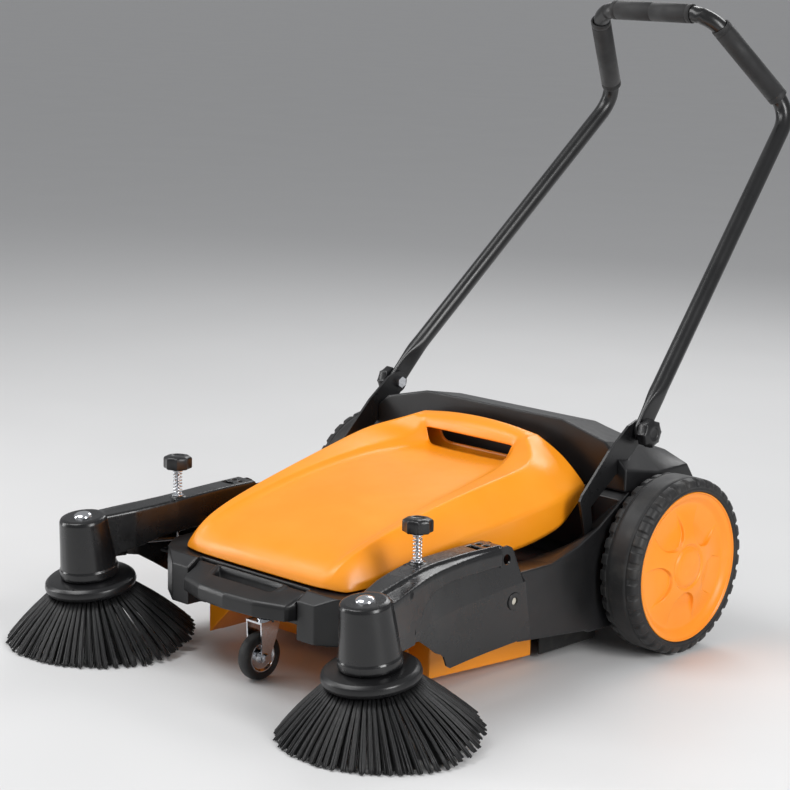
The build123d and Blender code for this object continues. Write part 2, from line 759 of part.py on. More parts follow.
HANDLE = handle_tube()
pair("handle_tube", HANDLE)
bend = Vector(*LEG_BEND)
corner = Vector(*BAR_CORNER)
g_dir = (corner - bend).normalized()
pair("grip", sleeve(bend + g_dir * 36, corner - g_dir * 30, 17.5, TUBE_R + 0.01))
bar_a = Vector(-84, BAR_CORNER[1], BAR_CORNER[2])
bar_b = Vector(84, BAR_CORNER[1], BAR_CORNER[2])
save("bar_sleeve", sleeve(bar_a, bar_b, 16.5, TUBE_R + 0.01))


def clamp_knob():
    star = lobed(24, 8, 5.2, 22)
    return Pos(276.8, CLAMP_Y, CLAMP_Z) * Rot(0, 90, 0) * star - rod_x(270, 290, CLAMP_Y, CLAMP_Z, 4.9)


def clamp_bolt():
    body = rod_x(258, 290, CLAMP_Y, CLAMP_Z, 4.9)
    head = Pos(255.6, CLAMP_Y, CLAMP_Z) * Rot(0, 90, 0) * extrude(RegularPolygon(10, 6), 7)
    return body + head


pair("clamp_knob", clamp_knob())
pair("clamp_bolt", clamp_bolt())


# ---- front caster -----------------------------------------------------------
WHEEL_Y = CASTER_Y - CASTER_TRAIL


def caster_plate():
    plate = brick(-32, 32, CASTER_Y - 24, CASTER_Y + 28, 104, 107.8)
    ring = rod_z(0, CASTER_Y, 96, 104, 17)
    return plate + ring - rod_z(0, CASTER_Y, 90, 110, 6 + FIT)


def caster_fork():
    top = rod_z(0, CASTER_Y, 91.6, 95.6, 19)
    top += brick(-17, 17, CASTER_Y - 30, CASTER_Y, 91.6, 94.6)
    cheek = slab_x([
        (CASTER_Y + 12, 94.6), (CASTER_Y - 30, 94.6), (WHEEL_Y - 9, 40),
        (WHEEL_Y - 5, 30), (WHEEL_Y + 5, 30), (WHEEL_Y + 9, 40),
    ], 14.4, 17)
    pin = rod_z(0, CASTER_Y, 92, 107, 6)
    body = top + cheek + flip(cheek) + pin
    return body - rod_x(-30, 30, WHEEL_Y, CASTER_R, 4)


def caster_tyre():
    profile = [(25, -10), (33, -11), (36.5, -8), (CASTER_R, 0), (36.5, 8), (33, 11), (25, 10)]
    return turned_x(profile, WHEEL_Y, CASTER_R)


def caster_hub():
    profile = [
        (4 + FIT, -13.6), (9, -13.6), (9, -9), (25, -9), (25, 9), (9, 9),
        (9, 13.6), (4 + FIT, 13.6),
    ]
    return turned_x(profile, WHEEL_Y, CASTER_R)


def caster_axle():
    body = rod_x(-19.5, 19.5, WHEEL_Y, CASTER_R, 4)
    body += rod_x(17, 20.5, WHEEL_Y, CASTER_R, 6.5)
    return body + rod_x(-20.5, -17, WHEEL_Y, CASTER_R, 6.5)


save("caster_plate", caster_plate())
save("caster_fork", caster_fork())
save("caster_axle", caster_axle())
save("caster_tyre", caster_tyre())
save("caster_hub", caster_hub())
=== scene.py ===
"""Looks of a walk behind sweeper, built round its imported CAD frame.

Metres, +Z up, the front faces -Y. Most shapes are written in millimetres in the
machine's own terms: x from the middle, y from the rear axle, z from the floor."""
import json
import math
import random

import bmesh
import bpy
from mathutils import Matrix, Vector


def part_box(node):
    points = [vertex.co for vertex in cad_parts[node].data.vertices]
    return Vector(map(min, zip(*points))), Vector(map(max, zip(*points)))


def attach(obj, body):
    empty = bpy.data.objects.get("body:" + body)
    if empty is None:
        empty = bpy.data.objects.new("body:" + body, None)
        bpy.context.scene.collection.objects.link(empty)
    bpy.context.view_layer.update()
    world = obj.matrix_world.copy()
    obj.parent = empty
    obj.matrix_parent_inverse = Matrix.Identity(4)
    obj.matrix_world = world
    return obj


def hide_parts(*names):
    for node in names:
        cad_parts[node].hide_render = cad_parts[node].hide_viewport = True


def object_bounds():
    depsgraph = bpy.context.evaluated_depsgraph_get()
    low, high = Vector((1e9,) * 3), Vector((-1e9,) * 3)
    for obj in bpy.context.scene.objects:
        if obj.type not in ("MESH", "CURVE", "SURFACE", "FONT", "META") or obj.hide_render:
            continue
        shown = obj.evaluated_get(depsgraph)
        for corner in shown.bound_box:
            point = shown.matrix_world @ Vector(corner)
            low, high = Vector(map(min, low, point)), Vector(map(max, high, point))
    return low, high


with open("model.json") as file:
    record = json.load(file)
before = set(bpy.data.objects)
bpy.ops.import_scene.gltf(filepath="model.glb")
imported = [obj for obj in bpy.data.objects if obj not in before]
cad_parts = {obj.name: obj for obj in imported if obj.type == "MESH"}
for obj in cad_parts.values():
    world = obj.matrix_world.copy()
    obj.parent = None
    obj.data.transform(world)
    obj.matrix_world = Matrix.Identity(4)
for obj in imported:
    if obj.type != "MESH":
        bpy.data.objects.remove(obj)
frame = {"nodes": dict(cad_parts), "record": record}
CAD_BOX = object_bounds()
NODES = frame["nodes"]
MM = 0.001


def middle(node):
    low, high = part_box(node)
    return (low + high) / 2


def spans(node):
    """Sizes of a CAD node's box along x, y and z, in millimetres."""
    return [(high - low) / MM for low, high in zip(*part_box(node))]


AXLE_Y = middle("axle").y
AXLE_Z = middle("axle").z / MM


def at(x, y, z):
    """A point from millimetres: x from the middle, y from the axle, z from the floor."""
    return Vector((x * MM, AXLE_Y + y * MM, z * MM))


# ---- materials --------------------------------------------------------------
def srgb(red, green, blue):
    """Linear colour from the usual 0-255 values."""
    return (*(v / 12.92 if v <= 0.04045 else ((v + 0.055) / 1.055) ** 2.4
              for v in (red / 255, green / 255, blue / 255)), 1)


def shade(colour, factor):
    """The colour made lighter or darker."""
    return (*(c * factor for c in colour[:3]), 1)


class Nodes:
    """Short names for making and joining shader nodes."""

    def __init__(self, name):
        self.material = bpy.data.materials.new(name)
        self.material.use_nodes = True
        self.tree = self.material.node_tree
        self.shader = self.tree.nodes["Principled BSDF"]
        self.coords = self.tree.nodes.new("ShaderNodeTexCoord").outputs["Object"]

    def add(self, kind, inputs, **settings):
        node = self.tree.nodes.new(kind)
        for key, value in settings.items():
            setattr(node, key, value)
        for key, value in inputs.items():
            self.give(node.inputs[key], value)
        return node

    def give(self, socket, value):
        """Links another node's output to the socket, or sets its own value."""
        if isinstance(value, bpy.types.NodeSocket):
            self.tree.links.new(value, socket)
        else:
            socket.default_value = value

    def feed(self, name, value):
        """Links or sets an input of the shader."""
        self.give(self.shader.inputs[name], value)

    def noise(self, scale, detail=3.0, rough=0.55, source=None):
        node = self.add("ShaderNodeTexNoise", {
            "Scale": scale, "Detail": detail, "Roughness": rough, "Vector": source or self.coords})
        return node.outputs["Fac"]

    def stretched(self, x, y, z):
        node = self.add("ShaderNodeMapping", {"Scale": (x, y, z), "Vector": self.coords})
        return node.outputs["Vector"]

    def spread(self, value, low, high, out_low, out_high):
        node = self.add("ShaderNodeMapRange", {
            "From Min": low, "From Max": high, "To Min": out_low, "To Max": out_high,
            "Value": value})
        return node.outputs["Result"]

    def mix(self, factor, a, b):
        node = self.add("ShaderNodeMix", {"Factor": factor, 6: a, 7: b}, data_type="RGBA")
        return node.outputs[2]

    def maths(self, kind, a, b):
        return self.add("ShaderNodeMath", {0: a, 1: b}, operation=kind).outputs[0]

    def bump(self, height, strength, distance, before=None):
        inputs = {"Strength": strength, "Distance": distance, "Height": height}
        if before:
            inputs["Normal"] = before
        return self.add("ShaderNodeBump", inputs).outputs["Normal"]

    def uneven_gloss(self, pattern, low, high):
        """Roughness between low and high, along a pattern."""
        self.feed("Roughness", self.spread(pattern, 0.3, 0.7, low, high))

    def worn_edges(self):
        """1 on convex edges that hands and floors rub, broken up by noise."""
        point = self.add("ShaderNodeNewGeometry", {}).outputs["Pointiness"]
        edge = self.spread(point, 0.515, 0.56, 0, 1)
        patchy = self.spread(self.noise(60, 4), 0.45, 0.62, 0, 1)
        return self.maths("MULTIPLY", edge, patchy)


def moulded(name, colour, pale, rough, grain_depth=0.25, coat=0.0, wear=0.35):
    """Injection moulded plastic: fine grain, faint mottling, scuffed edges."""
    n = Nodes(name)
    mottle = n.spread(n.noise(9, 5), 0.35, 0.65, 0, 0.35)
    base = n.mix(mottle, colour, pale)
    edge = n.maths("MULTIPLY", n.worn_edges(), wear)
    n.feed("Base Color", n.mix(edge, base, pale))
    n.uneven_gloss(n.noise(22, 4), rough - 0.05, rough + 0.09)
    swirl = n.bump(n.noise(35, 2), 0.05, 0.0006)
    n.feed("Normal", n.bump(n.noise(900, 2), grain_depth, 0.00008, swirl))
    n.feed("Coat Weight", coat)
    n.feed("Coat Roughness", 0.22)
    return n.material


def metal(name, colour, rough, streak=(40, 40, 40)):
    """Plated or bare metal with drawn streaks and small pits."""
    n = Nodes(name)
    streaks = n.noise(14, 4, 0.6, n.stretched(*streak))
    tint = n.spread(streaks, 0.35, 0.65, 0, 0.5)
    n.feed("Base Color", n.mix(tint, colour, shade(colour, 0.6)))
    n.uneven_gloss(streaks, rough - 0.04, rough + 0.14)
    n.feed("Metallic", 1.0)
    n.feed("Normal", n.bump(n.noise(1400, 2), 0.1, 0.00005))
    return n.material


def powder(name, colour, rough):
    """Powder coated steel: orange peel and a soft sheen."""
    n = Nodes(name)
    peel = n.noise(420, 2)
    edge = n.maths("MULTIPLY", n.worn_edges(), 0.5)
    n.feed("Base Color", n.mix(edge, colour, shade(colour, 2.2)))
    n.uneven_gloss(n.noise(18, 4), rough - 0.06, rough + 0.08)
    n.feed("Normal", n.bump(peel, 0.25, 0.00018))
    n.feed("Coat Weight", 0.25)
    n.feed("Coat Roughness", 0.3)
    return n.material


def rubber(name, colour, rough, dust=0.25):
    """Rubber with patches of dust and a matt, slightly pitted skin."""
    n = Nodes(name)
    dusty = n.spread(n.noise(26, 5, 0.65), 0.5, 0.75, 0, dust)
    n.feed("Base Color", n.mix(dusty, colour, srgb(96, 92, 86)))
    n.uneven_gloss(n.noise(30, 3), rough - 0.07, rough + 0.07)
    n.feed("Normal", n.bump(n.noise(600, 3), 0.35, 0.0002))
    n.feed("Sheen Weight", 0.08)
    return n.material


def bristle_look(name):
    """Extruded nylon bristle: dark, a little shiny, finely lined."""
    n = Nodes(name)
    line = n.noise(700, 2, 0.5, n.stretched(1, 1, 0.08))
    n.feed("Base Color", n.mix(n.spread(line, 0.4, 0.6, 0, 1), srgb(12, 12, 13), srgb(34, 34, 35)))
    n.uneven_gloss(n.noise(90, 3), 0.34, 0.52)
    n.feed("Normal", n.bump(line, 0.3, 0.0002))
    return n.material


def foam_look(name):
    """Closed cell foam: small pores and a matt skin."""
    n = Nodes(name)
    pores = n.add("ShaderNodeTexVoronoi", {"Scale": 700, "Vector": n.coords})
    mottle = n.spread(n.noise(16, 4), 0.4, 0.7, 0, 1)
    n.feed("Base Color", n.mix(mottle, srgb(20, 20, 21), srgb(34, 34, 35)))
    n.uneven_gloss(n.noise(40, 3), 0.55, 0.75)
    n.feed("Normal", n.bump(pores.outputs["Distance"], 0.35, 0.0003))
    n.feed("Sheen Weight", 0.12)
    return n.material


LOOKS = {name: make(name, *settings) for name, make, *settings in (
    ("orange_body", moulded, srgb(255, 152, 12), srgb(255, 168, 48), 0.34, 0.15, 0.15, 0.3),
    ("orange_wheel", moulded, srgb(255, 146, 14), srgb(255, 165, 50), 0.34, 0.15, 0.2, 0.3),
    ("black_body", moulded, srgb(17, 17, 18), srgb(40, 40, 42), 0.36, 0.35),
    ("black_arm", moulded, srgb(13, 13, 14), srgb(38, 38, 40), 0.24, 0.25, 0.1),
    ("black_trim", moulded, srgb(14, 14, 15), srgb(40, 40, 42), 0.3, 0.3),
    ("black_metal", powder, srgb(17, 17, 18), 0.3),
    ("grip_foam", foam_look),
    ("flap_rubber", rubber, srgb(24, 24, 24), 0.7),
    ("wheel_tyre", rubber, srgb(20, 20, 21), 0.55),
    ("belt_rubber", rubber, srgb(22, 22, 22), 0.6, 0.1),
    ("bristle", bristle_look),
    ("bright_metal", metal, srgb(226, 228, 232), 0.12),
    ("steel", metal, srgb(176, 178, 182), 0.28, (1, 60, 60)),
    ("gear_plastic", moulded, srgb(196, 190, 176), srgb(214, 208, 196), 0.45),
    ("roller_core", moulded, srgb(52, 54, 56), srgb(80, 82, 84), 0.5),
)}


# ---- mesh helpers -----------------------------------------------------------
def new_piece(name, mesh, slot_name, body, replaces):
    """A shown piece: its material, the body it rides on, the nodes it stands for."""
    obj = bpy.data.objects.new(name, mesh)
    bpy.context.scene.collection.objects.link(obj)
    mesh.materials.append(LOOKS[slot_name])
    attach(obj, body)
    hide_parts(*replaces)
    return obj


def mesh_of(name, points, faces, smooth=True):
    mesh = bpy.data.meshes.new(name)
    mesh.from_pydata([tuple(p) for p in points], [], faces)
    mesh.update()
    bm = bmesh.new()
    bm.from_mesh(mesh)
    bmesh.ops.remove_doubles(bm, verts=bm.verts, dist=1e-6)
    bmesh.ops.recalc_face_normals(bm, faces=bm.faces)
    bm.to_mesh(mesh)
    bm.free()
    if smooth:
        mesh.shade_smooth()
    return mesh


def joined(name, parts):
    """One mesh from several (points, faces) pairs."""
    points, faces = [], []
    for some_points, some_faces in parts:
        start = len(points)
        points += [tuple(p) for p in some_points]
        faces += [tuple(start + i for i in f) for f in some_faces]
    return mesh_of(name, points, faces)


def grid(rows, closed_rows=False, closed_cols=False):
    """Points and quads of a net of rows, each with the same number of points."""
    points = [p for row in rows for p in row]
    width = len(rows[0])
    faces = []
    for i in range(len(rows) if closed_rows else len(rows) - 1):
        for j in range(width if closed_cols else width - 1):
            a, b = i * width, ((i + 1) % len(rows)) * width
            k = (j + 1) % width
            faces.append((a + j, a + k, b + k, b + j))
    return points, faces


def capped(rows):
    """A closed net round a line, with both ends filled."""
    points, faces = grid(rows, closed_cols=True)
    width, last = len(rows[0]), (len(rows) - 1) * len(rows[0])
    faces.append(tuple(range(width)))
    faces.append(tuple(last + i for i in range(width)))
    return points, faces


def bend_at(p, before, after, size, steps=3):
    """Points of a short curve that takes the place of corner p."""
    a, b = p + (before - p).normalized() * size, p + (after - p).normalized() * size
    return [a * (1 - t) ** 2 + p * 2 * t * (1 - t) + b * t * t
            for t in (k / steps for k in range(steps + 1))]


def rounded(outline, size, closed=True):
    """The outline with each corner turned into a short curve, at most of that size."""
    out, count = [], len(outline)
    for i in range(count):
        p = Vector(outline[i])
        if not closed and i in (0, count - 1):
            out.append(p)
            continue
        before, after = Vector(outline[i - 1]), Vector(outline[(i + 1) % count])
        reach = min(size, 0.45 * (before - p).length, 0.45 * (after - p).length)
        out += bend_at(p, before, after, reach)
    return out


def angles(steps):
    return [2 * math.pi * k / steps for k in range(steps)]


def polar(radius, angle, height=0):
    return Vector((radius * math.cos(angle), radius * math.sin(angle), height))


def spun(profile, place, steps=64, rounding=0.0, closed=False):
    """Profile of (radius, height) in millimetres turned about the local z of place."""
    if rounding:
        profile = rounded(profile, rounding, closed=closed)
    rows = [[place @ polar(radius, a, height) for a in angles(steps)]
            for radius, height in profile]
    return grid(rows, closed_rows=closed, closed_cols=True)


def millimetres(origin, axis=(0, 0, 1), turn=0.0):
    """Local millimetre frame at origin, a Vector in metres, with z along axis."""
    up = Vector(axis).normalized()
    side = Vector((1, 0, 0)) if abs(up.x) < 0.9 else Vector((0, 1, 0))
    side = (side - up * side.dot(up)).normalized()
    rot = Matrix((side, up.cross(side), up)).transposed().to_4x4()
    return Matrix.Translation(origin) @ rot @ Matrix.Rotation(turn, 4, "Z") @ Matrix.Scale(MM, 4)


def prism(outline, low, high, to_point):
    """Outline of (a, b) pairs made solid from low to high; to_point(a, b, c) places it."""
    return capped([[to_point(a, b, c) for a, b in outline] for c in (low, high)])


def tube(path, radius, sides):
    """A round tube along points in metres; radius in millimetres, or one for each point."""
    radii = radius if isinstance(radius, (list, tuple)) else [radius] * len(path)
    rows, side = [], None
    for i, p in enumerate(path):
        ahead = (path[min(i + 1, len(path) - 1)] - path[max(i - 1, 0)]).normalized()
        if side is None:
            side = ahead.orthogonal().normalized()
        side = (side - ahead * side.dot(ahead)).normalized()
        other = ahead.cross(side)
        rows.append([
            p + (side * math.cos(a) + other * math.sin(a)) * radii[i] * MM
            for a in angles(sides)
        ])
    return capped(rows)


def mirrored(mesh, name):
    """A copy of mesh on the other side of the machine."""
    copy = mesh.copy()
    copy.name = name
    copy.transform(Matrix.Scale(-1, 4, (1, 0, 0)))
    copy.flip_normals()
    return copy


def both_sides(name, mesh, slot_name, body, replaces, one_body=False):
    """The right hand piece and its mirror image; names get _r and _l."""
    made = []
    for side in "rl":
        shape = mesh if side == "r" else mirrored(mesh, f"{name}_l")
        made.append(new_piece(
            f"{name}_{side}", shape, slot_name, body if one_body else f"{body}_{side}",
            [f"{n}_{side}" for n in replaces],
        ))
    return made


def even_normals(obj):
    obj.modifiers.new("even_normals", "WEIGHTED_NORMAL").keep_sharp = True


def soften(obj, width, segments=2, angle=32, weld=False):
    """Small rounded edges, as a moulding or a sheared plate has."""
    if weld:
        obj.modifiers.new("weld", "WELD").merge_threshold = 2e-5
    edge = obj.modifiers.new("soft_edges", "BEVEL")
    edge.width = width * MM
    edge.segments = segments
    edge.limit_method = "ANGLE"
    edge.angle_limit = math.radians(angle)
    even_normals(obj)


def settled(obj):
    """Applies the modifiers of obj and returns its new mesh."""
    bpy.context.view_layer.update()
    graph = bpy.context.evaluated_depsgraph_get()
    mesh = bpy.data.meshes.new_from_object(obj.evaluated_get(graph))
    obj.modifiers.clear()
    obj.data = mesh
    return mesh


# ---- hood -------------------------------------------------------------------
# Each row runs from the middle to the lower edge: dish middle, dish, dish edge,
# inner edge of the bevel, ridge, side, side crease, lower edge.
HOOD_ROWS = [
    [(0, -602, 175), (70, -602, 175), (131, -600, 175), (141, -599, 175.5),
     (150, -597, 175.5), (161, -594, 175), (172, -589, 174.5), (177, -584, 174)],
    [(0, -601, 188), (70, -601, 187.5), (132, -599, 186), (142, -598, 188),
     (152, -596, 189), (164, -592, 186), (177, -585, 180), (181, -580, 175)],
    [(0, -589, 203), (70, -589, 202.5), (134, -587, 201), (144, -585, 205),
     (155, -582, 207), (169, -576, 200), (182, -570, 184), (185, -567, 175.5)],
    [(0, -562, 216), (71, -562, 215.5), (137, -560, 214.5), (147, -558, 220),
     (160, -555, 222), (174, -549, 213), (189, -545, 188.5), (187, -543, 176)],
    [(0, -500, 233.5), (72, -500, 233), (139, -500, 231.5), (149, -500, 239),
     (163.5, -498, 242), (178, -496, 231), (196.5, -495, 199), (193.5, -495, 177.5)],
    [(0, -380, 262), (74, -380, 261.5), (137, -380, 260), (147, -380, 268),
     (167, -378, 271.5), (185, -376, 258), (207.5, -375, 222), (202.5, -375, 181.5)],
    [(0, -262, 278), (73, -262, 278), (129, -262, 278.5), (139, -262, 287),
     (178, -258, 293.5), (197, -257, 277), (220.5, -256, 241), (216.5, -255, 183)],
    [(0, -188, 283), (68, -188, 283), (114, -188, 284.5), (126, -188, 295),
     (187, -180, 307.5), (207, -180, 290), (229.5, -180, 254), (223.5, -178, 201)],
    [(0, -132, 287), (54, -132, 287), (83, -131, 288), (105, -142, 303),
     (153, -150, 320.5), (199, -150, 297.5), (230, -150, 257), (225, -148, 212)],
    [(0, -131, 315), (55, -130, 315), (95, -129, 314), (107, -129, 324),
     (124, -128, 332), (187, -127, 309), (230, -128, 261), (224.5, -126, 231)],
    [(0, -124, 336), (57, -124, 335), (99, -124, 331.5), (110, -123, 331.5),
     (123, -119, 333.5), (181, -116, 311), (229, -116, 265), (223, -114, 239)],
    [(0, -101, 345), (60, -101, 342.5), (101, -101, 337.5), (112, -101, 336),
     (125, -100, 334), (181, -99, 309.5), (227, -99, 268), (221, -98, 248)],
    [(0, -98, 340), (60, -98, 337.5), (100, -98, 333), (111, -98, 332),
     (123, -98, 330), (179, -98, 306), (223, -98, 266), (218, -98, 249)],
    [(0, -98, 317.5), (57, -98, 317.5), (90, -98, 316), (104, -98, 316),
     (120, -98, 314), (170, -98, 298), (218, -98, 264), (215, -98, 250)],
    [(0, -98, 289.5), (57, -98, 289.5), (84, -98, 290), (104, -98, 290),
     (118, -98, 288), (165, -98, 280), (208, -98, 260), (207, -98, 251)],
    [(0, -98, 252), (57, -98, 252), (84, -98, 252), (104, -98, 252),
     (118, -98, 252), (165, -98, 252), (205, -98, 252), (206, -98, 251)],
]
HOOD_CREASES = (  # column to each side of the middle, first row, last row, sharpness
    (4, 1, 12, 0.86), (3, 2, 9, 0.7), (2, 4, 8, 0.35), (6, 2, 11, 0.88), (2, 8, 9, 0.9),
    (2, 13, 14, 0.9), (7, 0, 15, 1.0),
)
SLOT_COLUMN = 2
SLOT_FRONT_ROW = 8
SLOT_REAR_ROW = 13
BAR_TOP_ROW = 11


def hood():
    """Moulded lid: dished top, bevelled ridges, rolled front and a grip bar."""
    reach = len(HOOD_ROWS[0]) - 1
    points = [at(math.copysign(1, c) * row[abs(c)][0], row[abs(c)][1], row[abs(c)][2])
              for row in HOOD_ROWS for c in range(-reach, reach + 1)]
    width = 2 * reach + 1
    faces = []
    for i in range(len(HOOD_ROWS) - 1):
        for j in range(width - 1):
            in_slot = reach - SLOT_COLUMN <= j < reach + SLOT_COLUMN
            if in_slot and i in (SLOT_FRONT_ROW, SLOT_REAR_ROW):
                continue
            a = i * width + j
            faces.append((a, a + 1, a + 1 + width, a + width))
    # underside of the grip bar
    front, rear = (SLOT_FRONT_ROW + 1) * width, SLOT_REAR_ROW * width
    for j in range(reach - SLOT_COLUMN, reach + SLOT_COLUMN):
        faces.append((front + j, front + j + 1, rear + j + 1, rear + j))
    mesh = bpy.data.meshes.new("hood_shell")
    mesh.from_pydata(points, [], faces)
    bm = bmesh.new()
    bm.from_mesh(mesh)
    crease = bm.edges.layers.float.new("crease_edge")
    bm.verts.ensure_lookup_table()

    def tighten(line, amount):
        for a, b in zip(line, line[1:]):
            edge = bm.edges.get((bm.verts[a], bm.verts[b]))
            if edge:
                edge[crease] = amount

    for sign in (-1, 1):
        for column, first, last, amount in HOOD_CREASES:
            place = reach + sign * column
            tighten([i * width + place for i in range(first, last + 1)], amount)
    for row, amount in ((BAR_TOP_ROW, 0.5), (12, 0.55), (SLOT_FRONT_ROW + 1, 0.3), (0, 1.0)):
        tighten([row * width + j for j in range(width)], amount)
    low, high = reach - SLOT_COLUMN, reach + SLOT_COLUMN
    for row in (SLOT_FRONT_ROW, SLOT_FRONT_ROW + 1, SLOT_REAR_ROW, SLOT_REAR_ROW + 1):
        tighten([row * width + j for j in range(low, high + 1)], 0.88)
    bmesh.ops.recalc_face_normals(bm, faces=bm.faces)
    bm.to_mesh(mesh)
    bm.free()
    mesh.shade_smooth()
    obj = new_piece("hood_shell", mesh, "orange_body", "container", ["hood"])
    smooth = obj.modifiers.new("smooth", "SUBSURF")
    smooth.levels = smooth.render_levels = 3
    wall = obj.modifiers.new("wall", "SOLIDIFY")
    wall.thickness = 3 * MM
    wall.offset = -1


hood()


# ---- drive wheels -----------------------------------------------------------
WHEEL_IN, WHEEL_OUT = (corner.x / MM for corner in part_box("tyre_r"))
WHEEL_R = spans("tyre_r")[2] / 2
RIM_R = spans("rim_r")[2] / 2
ROUND = 720
LUGS = 34
SCOOPS = 5
SCOOP_AT = 0.03  # turn of the first scoop, in steps between two scoops
SCOOP_FOOT = 42  # radius at the closed end of a scoop
SCOOP_ROUND = 24  # length over which a scoop opens to its full width
SCOOP_HALF = 24  # half of its full width, in degrees


def round_the_axle(radius, x, k):
    a = 2 * math.pi * k / ROUND
    return at(x, radius * math.sin(a), AXLE_Z + radius * math.cos(a))


def ramp(value, low, high):
    t = min(1.0, max(0.0, (value - low) / (high - low)))
    return t * t * (3 - 2 * t)


def tyre():
    """Section from the outer bead to the inner bead; the shoulders are cut into lugs."""
    mid = (WHEEL_IN + WHEEL_OUT) / 2
    half = (WHEEL_OUT - WHEEL_IN) / 2
    side = [  # radius, distance from the middle plane, how deep the lug gaps cut
        (RIM_R + 0.4, half - 3.0, 0), (RIM_R + 2.0, half - 0.6, 0), (RIM_R + 4.5, half - 0.1, 0),
        (RIM_R + 6.0, half - 1.0, 0), (RIM_R + 7.0, half - 1.0, 0), (RIM_R + 8.0, half, 0),
        (RIM_R + 9.5, half, 0.6), (RIM_R + 13.0, half - 0.3, 2.6), (WHEEL_R - 4.5, half - 2.0, 3.4),
        (WHEEL_R - 1.8, half - 5.0, 3.2), (WHEEL_R - 0.5, half - 9.5, 2.6),
        (WHEEL_R - 0.3, half - 13.5, 1.6), (WHEEL_R - 0.25, half - 15.5, 0),
        (WHEEL_R - 1.8, half - 16.2, 0), (WHEEL_R - 1.8, half - 17.4, 0),
        (WHEEL_R - 0.15, half - 18.0, 0), (WHEEL_R, half - 24.0, 0), (WHEEL_R, 3.0, 0),
    ]
    section = [(r, mid + w, d, 0.0) for r, w, d in side]
    section += [(r, mid - w, d, 0.5) for r, w, d in reversed(side)]
    rows = []
    for k in range(ROUND):
        row = []
        for r, x, depth, shift in section:
            phase = (k * LUGS / ROUND + shift) % 1.0
            gap = 1 - ramp(abs(phase - 0.5), 0.13, 0.22)
            cut = depth * gap
            row.append(round_the_axle(r - cut, x - cut * 0.35 * math.copysign(1, x - mid), k))
        rows.append(row + [round_the_axle(RIM_R + 0.3, WHEEL_IN + 4, k)])
    return mesh_of("tyre", *grid(rows, closed_rows=True, closed_cols=True))


def scoop(radius, k):
    """Depth, 0 to 1, of the five scoops: U-shaped creases that open toward the rim."""
    turn = (k / ROUND * SCOOPS - SCOOP_AT) % 1.0
    off = abs(turn - 0.5) * 360 / SCOOPS
    reach = min(1.0, max(0.0, (radius - SCOOP_FOOT) / SCOOP_ROUND))
    half_width = SCOOP_HALF * math.sqrt(1 - (1 - reach) ** 2) - 5 * ramp(radius, 66, 100)
    inside = math.radians(half_width - off) * radius
    return ramp(inside, -0.3, 1.1) * (1 - ramp(radius, 62, 103))


def rim_face(radius, k):
    """x of the disc's outer face: a dish with a rolled edge, a raised hub and scoops."""
    edge_lip = 1.2 * ramp(radius, RIM_R - 6, RIM_R - 2.5)
    dish = -8.5 * ramp(radius, 46, 103) + 7.6 * ramp(radius, 101, RIM_R - 5)
    hub = 3.2 * (1 - ramp(radius, 34, 74))
    groove = -2.4 * ramp(radius, 31, 33.5) * (1 - ramp(radius, 35, 38.5))
    return WHEEL_OUT - 4.6 + edge_lip + dish + hub + groove - 5.6 * scoop(radius, k)


def rim():
    """Wheel disc: outer face, rolled edge, and the hollow behind it with its ribs."""
    radii = [r for r in (30.5 + 1.25 * i for i in range(72)) if r < RIM_R - 2.2]
    rows = [[round_the_axle(r, rim_face(r, k), k) for k in range(ROUND)] for r in radii]
    edge = [(RIM_R - 2.0, -1.6), (RIM_R - 1.0, -1.1), (RIM_R - 0.25, -1.4), (RIM_R - 0.05, -2.4),
            (RIM_R - 0.05, -60), (RIM_R - 0.5, -67), (RIM_R - 7, -67), (RIM_R - 8, -66),
            (RIM_R - 8, -19), (26, -19), (25, -20), (25, -66), (24, -67), (9, -67), (8.1, -66),
            (8.1, -14)]
    for r, back in edge:
        rows.append([round_the_axle(r, WHEEL_OUT + back, k) for k in range(ROUND)])
    rows.append([round_the_axle(29.5, WHEEL_OUT - 14, k) for k in range(ROUND)])
    parts = [grid(rows, closed_rows=True, closed_cols=True)]
    for i in range(SCOOPS):
        turn = Matrix.Translation(at(0, 0, AXLE_Z)) @ Matrix.Rotation(
            2 * math.pi * (i + 0.5) / SCOOPS, 4, "X")
        parts.append(prism(
            [(23, -2.2), (RIM_R - 6, -2.2), (RIM_R - 6, 2.2), (23, 2.2)],
            WHEEL_IN + 10, WHEEL_OUT - 18,
            lambda a, b, c, t=turn: t @ Vector((c * MM, b * MM, a * MM))))
    return joined("rim", parts)


def axle_place(x):
    return millimetres(at(x, 0, AXLE_Z), (1, 0, 0))


def wheel_cap():
    profile = [(0.01, 2.6), (18, 2.3), (26, 1.6), (30.5, 0.2), (32.2, -1.8), (32.4, -6), (20, -7),
               (0.01, -7)]
    return mesh_of("wheel_cap", *spun(profile, axle_place(WHEEL_OUT - 1.2), 96, 2.2))


def wheel_pulley():
    """Grooved belt pulley with a flat web, fixed to the wheel's inner face."""
    low, high = (corner.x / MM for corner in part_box("wheel_pulley_r"))
    r = spans("wheel_pulley_r")[2] / 2
    width = high - low
    profile = [(8.1, 0), (14, 0), (15, 1.6), (r - 8, 1.6), (r - 6, 0), (r, 0), (r, 1.3),
               (r - 3, 2.1), (r - 3, 7.9), (r, 8.7), (r, 10), (r - 6, 10), (r - 8, 8.4),
               (21, 8.4), (20, 10), (20, width), (8.1, width)]
    return mesh_of("wheel_pulley", *spun(profile, axle_place(low), 96, 0.5, closed=True))


